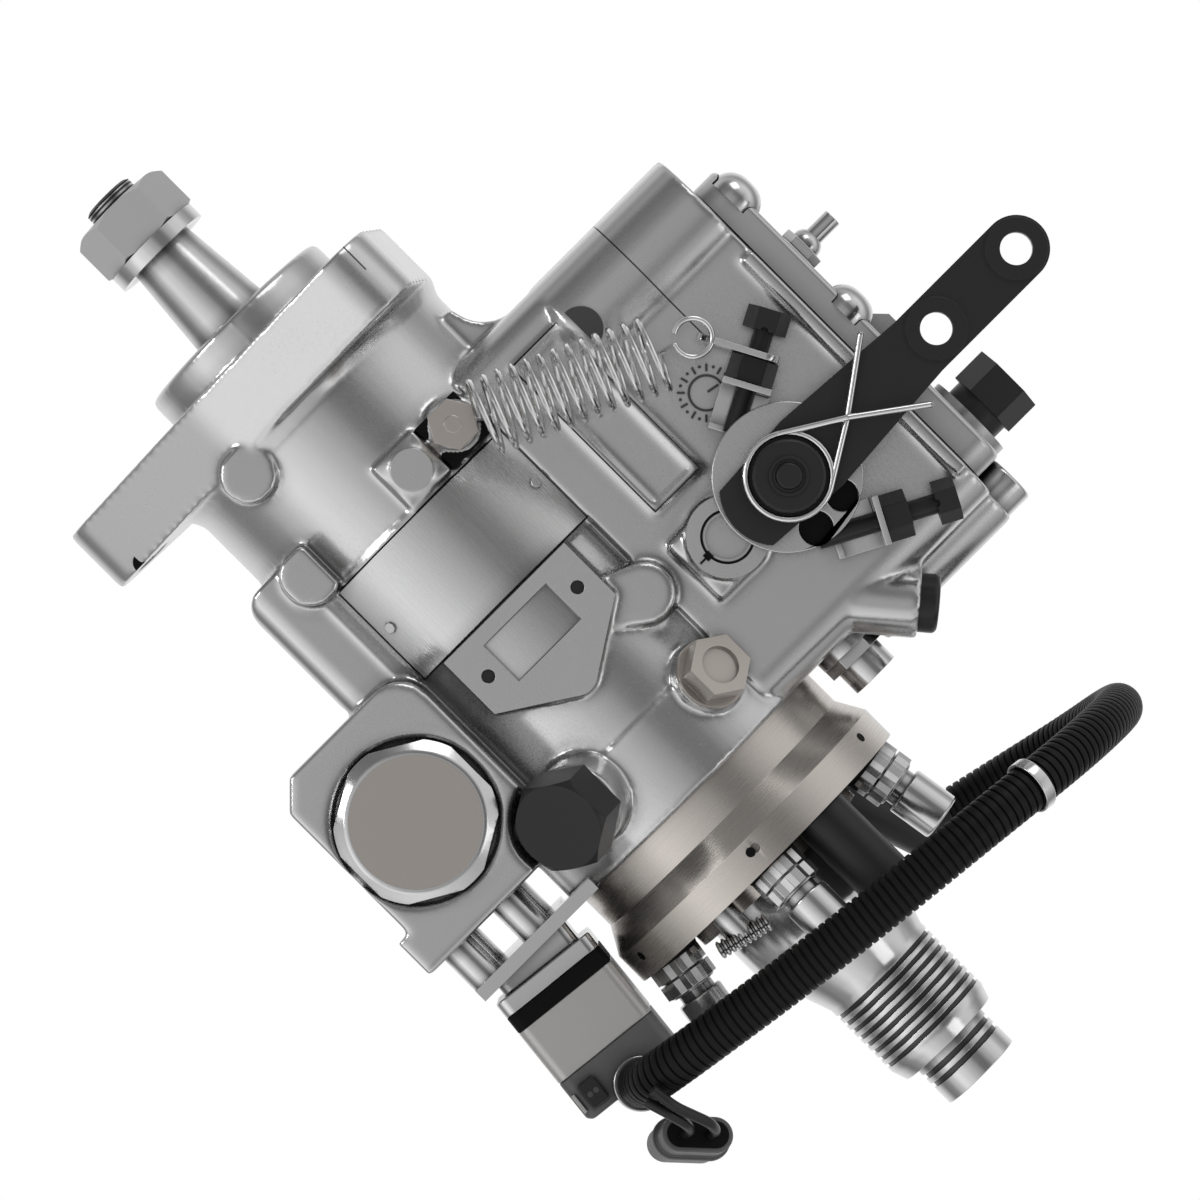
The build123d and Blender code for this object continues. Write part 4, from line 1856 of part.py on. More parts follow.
def spring_strap():
    """The strap on the low stop screw that holds the upper end of the return spring."""
    low = STOP_NUT_LENGTH / 2
    frame = stop_frame(LOW_STOP_HEAD, LOW_STOP_NUT)
    middle_y = -(STOP_SCREW_REACH + SPRING_REACH) / 2
    strap = block(
        STRAP_HALF_WIDTH - STRAP_LENGTH,
        STRAP_HALF_WIDTH,
        middle_y - STRAP_HALF_WIDTH,
        middle_y + STRAP_HALF_WIDTH,
        low,
        low + STRAP_THICKNESS,
    )
    strap = fillet(strap.edges().filter_by(Axis.Z), STRAP_HALF_WIDTH * 0.6)
    strap -= Pos(0, -STOP_SCREW_REACH, low) * Cylinder(
        STOP_SCREW_RADIUS + SEAT_GAP, 4 * STRAP_THICKNESS
    )
    hole_place = Pos(STRAP_HALF_WIDTH + STRAP_HOLE_MARGIN - STRAP_LENGTH, -SPRING_REACH, low)
    strap -= hole_place * Cylinder(STRAP_HOLE_RADIUS, 4 * STRAP_THICKNESS)
    return frame.location * strap


def return_spring():
    """The return spring: a coil of round wire between its two ends."""
    low = Vector(SPRING_LOW[0], -SPRING_REACH, SPRING_LOW[1])
    high = Vector(SPRING_HIGH[0], -SPRING_REACH, SPRING_HIGH[1])
    run = high - low
    frame = Plane(origin=low, x_dir=(0, 1, 0), z_dir=run)
    helix = Helix(pitch=run.length / SPRING_TURNS, height=run.length, radius=SPRING_RADIUS)
    section = Plane(origin=helix @ 0, z_dir=helix % 0) * RegularPolygon(SPRING_WIRE_RADIUS, 6)
    spring = frame.location * sweep(section, path=helix, is_frenet=True)
    side = Vector(0, SPRING_RADIUS, 0)
    bolt = (ANCHOR_BOLT_X, ANCHOR_BOLT_Z)
    bolt_ring_radius = ANCHOR_BOLT_COLLAR / 2 + SPRING_WIRE_RADIUS + RUN_GAP
    spring += spring_hook(bolt, bolt_ring_radius, low + side)
    return spring + spring_hook(strap_ring_centre(), STRAP_RING_RADIUS, high + side)


def strap_ring_centre():
    """The centre, in the (x, z) plane, of the spring's ring through the strap's hole."""
    reach = STRAP_HALF_WIDTH + STRAP_HOLE_MARGIN - STRAP_LENGTH - STRAP_RING_RADIUS
    lift = (STOP_NUT_LENGTH + STRAP_THICKNESS) / 2
    frame = stop_frame(LOW_STOP_HEAD, LOW_STOP_NUT)
    place = frame.from_local_coords((reach, 0, lift))
    return place.X, place.Z


def spring_hook(centre, radius, coil_end):
    """A ring of wire round a centre, with the link to an end of the coil."""
    ring_centre = Vector(centre[0], -SPRING_REACH, centre[1])
    axis_end = Vector(coil_end.X, -SPRING_REACH, coil_end.Z)
    foot = ring_centre + (axis_end - ring_centre).normalized() * radius
    run = coil_end - foot
    hook = Pos(*ring_centre) * Rot(90, 0, 0) * Torus(radius, SPRING_WIRE_RADIUS)
    hook += rod(SPRING_WIRE_RADIUS, foot, run, run.length)
    return hook + Pos(*coil_end) * Sphere(SPRING_WIRE_RADIUS)


def actuator_frame():
    """The actuator's own frame: x along its length, nose down."""
    tilt = math.radians(ACTUATOR_TILT)
    return Plane(
        origin=(ACTUATOR_X, ACTUATOR_Y, ACTUATOR_Z),
        x_dir=(math.cos(tilt), 0, -math.sin(tilt)),
        z_dir=(math.sin(tilt), 0, math.cos(tilt)),
    )


def actuator_block(start, length, depth=ACTUATOR_DEPTH, height=ACTUATOR_HEIGHT):
    """A rounded slice of the actuator, from a distance along its length."""
    slice_shape = block(start, start + length, -depth / 2, depth / 2, -height / 2, height / 2)
    slice_shape = fillet(slice_shape.edges().filter_by(Axis.X), ACTUATOR_CORNER)
    return actuator_frame().location * slice_shape


def actuator_base():
    """The actuator's neck and base plate, cut flush to its bracket."""
    neck = actuator_block(
        -ACTUATOR_NECK_LENGTH,
        2 * ACTUATOR_NECK_LENGTH,
        ACTUATOR_NECK_DEPTH,
        ACTUATOR_NECK_HEIGHT,
    )
    base = actuator_block(ACTUATOR_NECK_LENGTH, ACTUATOR_BASE_LENGTH)
    start_x = ACTUATOR_X - 2 * ACTUATOR_NECK_LENGTH
    reach = ACTUATOR_DEPTH
    wall = block(
        start_x,
        ACTUATOR_X,
        ACTUATOR_Y - reach,
        ACTUATOR_Y + reach,
        ACTUATOR_Z - reach,
        ACTUATOR_Z + reach,
    )
    return (neck + base) - wall


def actuator_start():
    """How far along its length the actuator's body starts."""
    return ACTUATOR_NECK_LENGTH + ACTUATOR_BASE_LENGTH + ACTUATOR_GASKET_LENGTH


def actuator_body():
    """The light box of the actuator."""
    return actuator_block(actuator_start(), ACTUATOR_BODY_LENGTH)


def actuator_cap():
    """The dark end of the actuator, sloped on top."""
    start = actuator_start() + ACTUATOR_BODY_LENGTH
    cap = actuator_block(start, ACTUATOR_CAP_LENGTH)
    end_edges = cap.faces().sort_by(Axis.X)[-1].edges()
    return chamfer(end_edges, ACTUATOR_CAP_BEVEL)


def actuator_socket():
    """The small dark socket on the lever side of the actuator's end."""
    end = actuator_start() + ACTUATOR_BODY_LENGTH + ACTUATOR_CAP_LENGTH
    side_y = -ACTUATOR_DEPTH / 2
    low_z = ACTUATOR_CORNER - ACTUATOR_HEIGHT / 2
    socket = block(
        end - SOCKET_LENGTH - SOCKET_INSET,
        end - SOCKET_INSET,
        side_y - SOCKET_PROUD,
        side_y,
        low_z,
        low_z + SOCKET_HEIGHT,
    )
    socket = fillet(socket.edges().filter_by(Axis.Y), SOCKET_ROUNDING)
    return actuator_frame().location * socket


def advance_bracket():
    """The plate and rods behind the advance cylinder that carry the actuator."""
    plate = block(
        BRACKET_PLATE_START_X,
        ACTUATOR_X,
        BRACKET_PLATE_NEAR_Y,
        BRACKET_PLATE_FAR_Y,
        BRACKET_PLATE_LOW_Z,
        BRACKET_PLATE_HIGH_Z,
    )
    plate += block(
        BRACKET_PLATE_START_X,
        ACTUATOR_X,
        BRACKET_PLATE_NEAR_Y,
        BRACKET_PLATE_NEAR_Y + BRACKET_EAR_WIDTH,
        BRACKET_PLATE_LOW_Z,
        BRACKET_EAR_TOP_Z,
    )
    near_y = BRACKET_PLATE_NEAR_Y + BRACKET_ROD_MARGIN
    far_y = BRACKET_PLATE_FAR_Y - BRACKET_ROD_MARGIN
    for z in BRACKET_ROD_ZS:
        for y in (near_y, far_y):
            plate += rod_x(BRACKET_ROD_RADIUS, ADVANCE_END_X, BRACKET_PLATE_START_X + 1, y, z)
    clear_radius = BARREL_RADIUS + BARREL_STEP + AIR_GAP
    return plate - rod_x(clear_radius, ADVANCE_END_X - 1, ACTUATOR_X + 1)


def bend_radii(route):
    """The radius of the bend at each inner point of a cord's route."""
    points = [Vector(*point) for point in route]
    radii = []
    for before, corner, after in zip(points, points[1:], points[2:]):
        arriving = corner - before
        leaving = after - corner
        half_turn = math.radians(arriving.get_angle(leaving)) / 2
        radii.append(0.45 * min(arriving.length, leaving.length) / math.tan(half_turn))
    return radii


def cord(route, radius):
    """A plain tube of straight runs joined by tangent bends."""
    radii = bend_radii(route)
    path = FilletPolyline(*route, radius=radii)
    section = Plane(origin=path @ 0, z_dir=path % 0) * Circle(radius)
    tube = sweep(section, path=path)
    expected = math.pi * radius**2 * path.length
    print("cord length", round(path.length, 1), "volume ratio", round(tube.volume / expected, 4))
    print("bend radii", [round(bend, 1) for bend in radii])
    return tube


def lead_wires():
    """The two short leads from the conduit to the connector."""
    routes = (UPPER_LEAD_ROUTE, LOWER_LEAD_ROUTE)
    return Compound(children=[cord(route, LEAD_RADIUS) for route in routes])


def connector():
    """The oval two pin connector on the leads, with its raised rim."""
    frame = Plane(origin=CONNECTOR_PLACE, x_dir=CONNECTOR_ACROSS, z_dir=CONNECTOR_RUN)
    outline = SlotOverall(CONNECTOR_WIDTH, CONNECTOR_DEPTH)
    body = extrude(outline, CONNECTOR_LENGTH)
    rim_width = CONNECTOR_WIDTH + 2 * CONNECTOR_RIM
    rim_outline = SlotOverall(rim_width, CONNECTOR_DEPTH + 2 * CONNECTOR_RIM)
    rim = extrude(Pos(0, 0, CONNECTOR_RIM_START) * rim_outline, CONNECTOR_RIM_LENGTH)
    return frame.location * (body + rim)


def conduit_end(first, second):
    """An end of the conduit and its direction into the object."""
    end = Vector(*CONDUIT_ROUTE[first])
    return end, (end - Vector(*CONDUIT_ROUTE[second])).normalized()


def conduit_bands():
    """The band on the near run of the conduit and the ring at its lower end."""
    low = Vector(*CONDUIT_ROUTE[6])
    high = Vector(*CONDUIT_ROUTE[7])
    run = (high - low).normalized()
    middle = low + (high - low) * 0.5 - run * (BAND_WIDTH / 2)
    band = rod(BAND_RADIUS, middle, run, BAND_WIDTH)
    band -= rod(CONDUIT_RADIUS + SEAT_GAP, middle - run, run, BAND_WIDTH + 2)
    end, inward = conduit_end(0, 1)
    ring = rod(BAND_RADIUS, end, inward, END_BAND_WIDTH * 2)
    side_y = ACTUATOR_Y - ACTUATOR_DEPTH / 2
    reach = 2 * BAND_RADIUS
    ring -= block(
        end.X - reach, end.X + reach, side_y, side_y + reach, end.Z - reach, end.Z + reach
    )
    return Compound(children=[band, ring])


def solenoid_boot():
    """The boot on the far solenoid that the conduit's upper end stands on."""
    end, inward = conduit_end(-1, -2)
    return end, inward, end + inward * BOOT_LENGTH


PIECES = {
    "pump_housing": pump_housing,
    "governor_housing": governor_housing,
    "governor_cover": governor_cover,
    "cover_screws": cover_screws,
    "terminal_stud": terminal_stud,
    "return_fitting": return_fitting,
    "shutoff_coil": shutoff_coil,
    "side_plate": side_plate,
    "plate_screws": plate_screws,
    "timing_cover": timing_cover,
    "advance_plugs": advance_plugs,
    "advance_piston": advance_piston,
    "advance_bracket": advance_bracket,
    "cam_ring": cam_ring,
    "side_bolt": side_bolt,
    "side_hex_plug": side_hex_plug,
    "anchor_bolt": anchor_bolt,
    "snap_ring_plug": snap_ring_plug,
    "angled_plug": angled_plug,
    "side_fitting": side_fitting,
    "drive_shaft": drive_shaft,
    "shaft_nut": shaft_nut,
    "drive_bearing": drive_bearing,
    "seals": seals,
    "hydraulic_head": hydraulic_head,
    "discharge_fittings": discharge_fittings,
    "discharge_sleeves": discharge_sleeves,
    "rear_solenoids": rear_solenoids,
    "end_cap": end_cap,
    "transfer_liner": transfer_liner,
    "transfer_blades": transfer_blades,
    "regulator_piston": regulator_piston,
    "rotor": rotor,
    "weight_cage": weight_cage,
    "thrust_sleeve": thrust_sleeve,
    "governor_arm": governor_arm,
    "metering_valve": metering_valve,
    "throttle_lever": throttle_lever,
    "throttle_shaft": throttle_shaft,
    "throttle_plate": throttle_plate,
    "throttle_spring": throttle_spring,
    "stop_screws": stop_screws,
    "stop_lock_nuts": stop_lock_nuts,
    "stop_brackets": stop_brackets,
    "spring_strap": spring_strap,
    "return_spring": return_spring,
    "actuator_base": actuator_base,
    "actuator_body": actuator_body,
    "actuator_cap": actuator_cap,
    "actuator_socket": actuator_socket,
    "conduit_band": conduit_bands,
    "lead_wires": lead_wires,
    "connector": connector,
}

os.makedirs("parts", exist_ok=True)
for name, build in PIECES.items():
    export_step(build(), f"parts/{name}.step")
export_step(cord(CONDUIT_ROUTE, CONDUIT_RADIUS), "parts/conduit.step")
export_step(plunger(-1), "parts/plunger_near.step")
export_step(plunger(1), "parts/plunger_far.step")
for weight in range(WEIGHTS):
    export_step(flyweight(weight), f"parts/flyweight_{weight + 1}.step")
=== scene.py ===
import json
import logging
import math
from dataclasses import dataclass
from enum import Enum
from typing import Iterable, Sequence

import bmesh
import bpy
from mathutils import Matrix, Vector

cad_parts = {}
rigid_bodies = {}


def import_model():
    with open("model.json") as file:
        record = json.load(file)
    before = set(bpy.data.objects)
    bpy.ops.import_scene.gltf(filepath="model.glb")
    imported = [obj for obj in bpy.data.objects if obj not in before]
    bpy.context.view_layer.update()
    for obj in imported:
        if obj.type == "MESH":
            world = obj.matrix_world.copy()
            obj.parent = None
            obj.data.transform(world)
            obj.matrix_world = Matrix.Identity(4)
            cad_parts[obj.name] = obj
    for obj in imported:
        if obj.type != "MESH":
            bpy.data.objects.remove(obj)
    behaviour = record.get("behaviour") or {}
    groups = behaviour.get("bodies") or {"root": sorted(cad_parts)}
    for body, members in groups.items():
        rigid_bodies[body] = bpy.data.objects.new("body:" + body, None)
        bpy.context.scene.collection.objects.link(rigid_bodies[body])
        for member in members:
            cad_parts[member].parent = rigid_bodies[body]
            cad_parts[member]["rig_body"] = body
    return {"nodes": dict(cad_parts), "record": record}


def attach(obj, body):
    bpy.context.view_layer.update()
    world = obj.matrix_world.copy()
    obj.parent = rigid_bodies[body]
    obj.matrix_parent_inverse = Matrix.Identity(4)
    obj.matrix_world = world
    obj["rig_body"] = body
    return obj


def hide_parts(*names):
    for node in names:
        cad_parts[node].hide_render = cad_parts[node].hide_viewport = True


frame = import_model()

LOG = logging.getLogger("injection_pump")

# Every size below is in millimetres in the part's own frame: +X along the shaft from the drive end
# to the fuel inlet, +Z up to the throttle, -Y towards the lever side. Meshes become metres at last.
MM = 0.001
LEVER_SIDE = Vector((0.0, -1.0, 0.0))
ALONG = Vector((1.0, 0.0, 0.0))
UP = Vector((0.0, 0.0, 1.0))

Number = int | float
Point = Sequence[float]


class Value:
    """A shader socket that takes part in Python arithmetic."""

    def __init__(self, graph: "Graph", socket: bpy.types.NodeSocket) -> None:
        """Keeps the socket and the graph that it belongs to."""
        self.graph = graph
        self.socket = socket

    def __add__(self, other: "Value | Number") -> "Value":
        """Adds with a Math node."""
        return self.graph.math("ADD", self, other)

    __radd__ = __add__

    def __sub__(self, other: "Value | Number") -> "Value":
        """Subtracts with a Math node."""
        return self.graph.math("SUBTRACT", self, other)

    def __rsub__(self, other: "Value | Number") -> "Value":
        """Subtracts this socket from a number."""
        return self.graph.math("SUBTRACT", other, self)

    def __mul__(self, other: "Value | Number") -> "Value":
        """Multiplies with a Math node."""
        return self.graph.math("MULTIPLY", self, other)

    __rmul__ = __mul__

    def distance(self, other: Number) -> "Value":
        """How far this number is from another."""
        return self.graph.math("ABSOLUTE", self - other)

    def clamped(self) -> "Value":
        """This number held between nought and one."""
        return self.graph.node("ShaderNodeClamp", {}, {"Value": self})


class Graph:
    """A node tree, built from Python expressions."""

    def __init__(self, tree: bpy.types.NodeTree, emptied: bool = True) -> None:
        """Starts on a node tree.

        Args:
            tree: The node tree of a material or of the world.
            emptied: Whether its nodes are cleared first.
        """
        self.tree = tree
        if emptied:
            self.tree.nodes.clear()

    def feed(self, socket: bpy.types.NodeSocket, value: object) -> None:
        """Links a socket, or sets it to a plain value.

        Args:
            socket: The input socket.
            value: The other socket, or the plain value.
        """
        if isinstance(value, Value):
            self.tree.links.new(value.socket, socket)
        else:
            socket.default_value = value

    def node(self, kind: str, settings: dict, inputs: dict, output: int | str = 0) -> Value:
        """Adds a node.

        Args:
            kind: The node's type.
            settings: Its own settings, or a ramp's stops under the key "stops".
            inputs: The values or links of its sockets, by name or number.
            output: The output that is wanted.

        Returns:
            The wanted output.
        """
        made = self.tree.nodes.new(kind)
        for key, value in settings.items():
            if key == "stops":
                made.color_ramp.interpolation = "EASE"
                ramp = made.color_ramp.elements
                while len(ramp) < len(value):
                    ramp.new(1.0)
                for element, (place, level) in zip(ramp, value):
                    element.position = place
                    element.color = (level, level, level, 1.0)
            else:
                setattr(made, key, value)
        for key, value in inputs.items():
            self.feed(made.inputs[key], value)
        return Value(self, made.outputs[output])

    def ended(self, kind: str, surface: Value) -> None:
        """Ends the tree in an output node of a type."""
        self.feed(self.tree.nodes.new(kind).inputs["Surface"], surface)

    def math(self, operation: str, first: object, second: object = 0.0) -> Value:
        """A Math node on one or two numbers."""
        return self.node("ShaderNodeMath", {"operation": operation}, {0: first, 1: second})

    def mixed(self, low: object, high: object, mask: object) -> Value:
        """A colour between two others by a mask."""
        return self.node(
            "ShaderNodeMix", {"data_type": "RGBA"}, {0: mask, 6: low, 7: high}, output=2
        )

    def axis(self, name: str) -> Value:
        """One of the object's own coordinates, in metres."""
        place = self.node("ShaderNodeTexCoord", {}, {}, output="Object")
        return self.node("ShaderNodeSeparateXYZ", {}, {0: place}, output=name)

    def noise(self, stretch: Point, detail: float = 3.0) -> Value:
        """Noise on the object's own coordinates.

        Args:
            stretch: How many cells a metre holds along each axis.
            detail: How fine its smallest detail is.

        Returns:
            The noise, from nought to one.
        """
        place = self.node("ShaderNodeTexCoord", {}, {}, output="Object")
        scaled = self.node(
            "ShaderNodeVectorMath", {"operation": "MULTIPLY"}, {0: place, 1: tuple(stretch)}
        )
        return self.node(
            "ShaderNodeTexNoise", {}, {"Vector": scaled, "Scale": 1.0, "Detail": detail}
        )


class Lay(Enum):
    """How a surface's fine marks run."""

    CAST = "even grain all over"
    TURNED = "rings round the shaft's direction"
    BRUSHED = "lines along the shaft's direction"
    MOULDED = "soft, very fine grain"


# How many cells of grain a metre holds along each axis.
LAY_CELLS = {
    Lay.CAST: (1500.0, 1500.0, 1500.0),
    Lay.TURNED: (5200.0, 60.0, 60.0),
    Lay.BRUSHED: (90.0, 3600.0, 3600.0),
    Lay.MOULDED: (2600.0, 2600.0, 2600.0),
}


# How far a finish's colour varies, how dark its painted shade in creases and its scribed lines are,
# and how wide and sharp the lines are.
DARKEST, LIGHTEST, CREASE_SHADE_LEVEL = 0.6, 1.4, 0.12
LINE_GREY = 0.05
LINE_HALF_WIDTH = 0.24
LINE_SHARPNESS, LINE_END_SHARPNESS = 9000.0, 8000.0


@dataclass(frozen=True)
class Finish:
    """A surface finish: its colour, its shine, its grain, its painted shade in creases and its
    scribed lines.
    """

    name: str
    colour: tuple[float, float, float]
    metallic: float
    roughness: float
    lay: Lay = Lay.CAST
    grain_depth: float = 0.02
    mottling: float = 0.10
    # How strong the painted shade in creases is, and how far in millimetres the occlusion looks for
    # it.
    crease_shade: float = 0.80
    crease_shade_reach: float = 5.0
    scribed: tuple[tuple[float, float, float], ...] = ()
    shine: float = 0.5

    def made(self) -> bpy.types.Material:
        """The finish's material, built once.

        Returns:
            The material.
        """
        known = bpy.data.materials.get(f"{self.name}_finish")
        if known is not None:
            return known
        material = bpy.data.materials.new(f"{self.name}_finish")
        material.use_nodes = True
        graph = Graph(material.node_tree)
        cloud = graph.noise((38.0, 38.0, 38.0), detail=2.0)
        grain = graph.noise(LAY_CELLS[self.lay])
        rough = ((cloud - 0.5) * 0.10 + (grain - 0.5) * 0.16 + self.roughness).clamped()
        bump = graph.node(
            "ShaderNodeBump",
            {},
            {"Strength": 1.0, "Distance": self.grain_depth * MM, "Height": grain},
        )
        shader = graph.node(
            "ShaderNodeBsdfPrincipled",
            {},
            {
                "Base Color": self.tinted(graph, cloud, grain),
                "Metallic": self.metallic,
                "Roughness": rough,
                "Specular IOR Level": self.shine,
                "Normal": bump,
            },
        )
        graph.ended("ShaderNodeOutputMaterial", shader)
        return material

    def tinted(self, graph: Graph, cloud: Value, grain: Value) -> Value:
        """The finish's colour over the surface.

        Args:
            graph: The material's graph.
            cloud: The broad noise.
            grain: The fine noise.

        Returns:
            The colour.
        """
        shade = (cloud - 0.5) * self.mottling + (grain - 0.5) * self.mottling * 0.8
        dark = tuple(part * DARKEST for part in self.colour) + (1.0,)
        light = tuple(min(1.0, part * LIGHTEST) for part in self.colour) + (1.0,)
        colour = graph.mixed(dark, light, (shade + 0.5).clamped())
        # Painted shade: an ambient occlusion mask darkens the colour in creases, recesses and
        # between parts.
        if self.crease_shade > 0.0:
            open_sky = graph.node(
                "ShaderNodeAmbientOcclusion", {"samples": 6}, {"Distance": self.crease_shade_reach * MM},
                output="AO",
            )
            crease_shade_share = ((1.0 - open_sky) * (0.85 + cloud * 0.3) * self.crease_shade * 1.5).clamped()
            crease_shade_colour = tuple(part * CREASE_SHADE_LEVEL for part in self.colour) + (1.0,)
            colour = graph.mixed(colour, crease_shade_colour, crease_shade_share)
        for height, low, high in self.scribed:
            up, run = graph.axis("Z"), graph.axis("X")
            off_line = up.distance(height * MM)
            on_line = ((LINE_HALF_WIDTH * MM - off_line) * LINE_SHARPNESS).clamped()
            off_middle = run.distance((high + low) / 2 * MM)
            inside = (((high - low) / 2 * MM - off_middle) * LINE_END_SHARPNESS).clamped()
            line_colour = (LINE_GREY, LINE_GREY, LINE_GREY, 1.0)
            colour = graph.mixed(colour, line_colour, on_line * inside)
        return colour


# The grey of the casting, and every finish by the name of its slot in the record.
GREY = 0.57
# The eighth and ninth values, where given, set the painted shade in creases and how far it reaches.
FINISHES = {
    finish.name: finish
    for finish in (
        Finish(
            "cast_aluminium", (GREY, GREY, GREY), 0.90, 0.24, grain_depth=0.006, mottling=0.05,
            crease_shade=0.5, scribed=((80.0, 37.0, 78.0), (32.5, -0.5, 8.0)),
        ),
        Finish("head_steel", (0.56, 0.52, 0.485), 0.88, 0.28, Lay.TURNED, 0.0004, 0.03, 0.3),
        Finish("ground_steel", (0.53, 0.53, 0.53), 0.95, 0.22, Lay.TURNED, 0.004, 0.06),
        Finish("warm_steel", (0.50, 0.46, 0.425), 0.72, 0.34, Lay.MOULDED, 0.004, 0.05, 0.5),
        Finish(
            "black_steel", (0.026, 0.026, 0.027), 0.10, 0.38, Lay.MOULDED, 0.006, crease_shade=0.4,
            shine=0.32,
        ),
        Finish("dark_steel", (0.10, 0.10, 0.10), 0.80, 0.36, Lay.MOULDED, 0.008),
        Finish("plated_steel", (0.60, 0.60, 0.60), 0.95, 0.18, Lay.MOULDED, 0.003, 0.06, 0.9, 3.5),
        Finish("spring_steel", (0.74, 0.74, 0.74), 1.0, 0.16, Lay.MOULDED, 0.002, 0.05, 0.3, 1.5),
        Finish("cover_metal", (0.53, 0.53, 0.53), 0.86, 0.30, Lay.BRUSHED, 0.003, 0.05, 0.5),
        Finish("plate_metal", (0.57, 0.57, 0.57), 0.90, 0.27, Lay.BRUSHED, 0.0005, 0.04, 0.5),
        Finish("bearing_bronze", (0.55, 0.40, 0.22), 0.95, 0.35, Lay.TURNED, 0.006),
        Finish(
            "black_plastic", (0.022, 0.022, 0.023), 0.0, 0.36, Lay.MOULDED, 0.008, crease_shade=0.3,
            shine=0.35,
        ),
        Finish("pale_plastic", (0.58, 0.57, 0.56), 0.45, 0.34, Lay.MOULDED, 0.004),
        Finish("grey_plastic", (0.15, 0.15, 0.15), 0.1, 0.46, Lay.MOULDED, 0.010),
        Finish(
            "conduit_plastic", (0.011, 0.011, 0.011), 0.0, 0.46, Lay.MOULDED, 0.008, crease_shade=0.9,
            crease_shade_reach=1.2, shine=0.14,
        ),
        Finish(
            "black_rubber", (0.006, 0.006, 0.006), 0.0, 0.60, Lay.MOULDED, 0.010, crease_shade=0.3,
            shine=0.12,
        ),
    )
}
# The finish of each solid, from the record.
SLOT_OF = {part["node"]: part["material_slot"] for part in frame["record"]["subparts"]}


def facing(origin: Point, direction: Vector, corner: Vector | None = None) -> Matrix:
    """A local frame at a point, with its z axis along a direction.

    Args:
        origin: The frame's origin.
        direction: Where its z axis points.
        corner: Where its x axis points as near as can be.

    Returns:
        The matrix from the local frame to the part's frame.
    """
    out = Vector(direction).normalized()
    side = Vector(corner) if corner is not None else out.orthogonal()
    across = (side - out * side.dot(out)).normalized()
    turned = Matrix((across, out.cross(across), out)).transposed().to_4x4()
    return Matrix.Translation(Vector(origin)) @ turned


def around(angle: float) -> Vector:
    """The outward direction at an angle from the lever side up over the top, in degrees."""
    turn = math.radians(angle)
    return Vector((0.0, -math.cos(turn), math.sin(turn)))


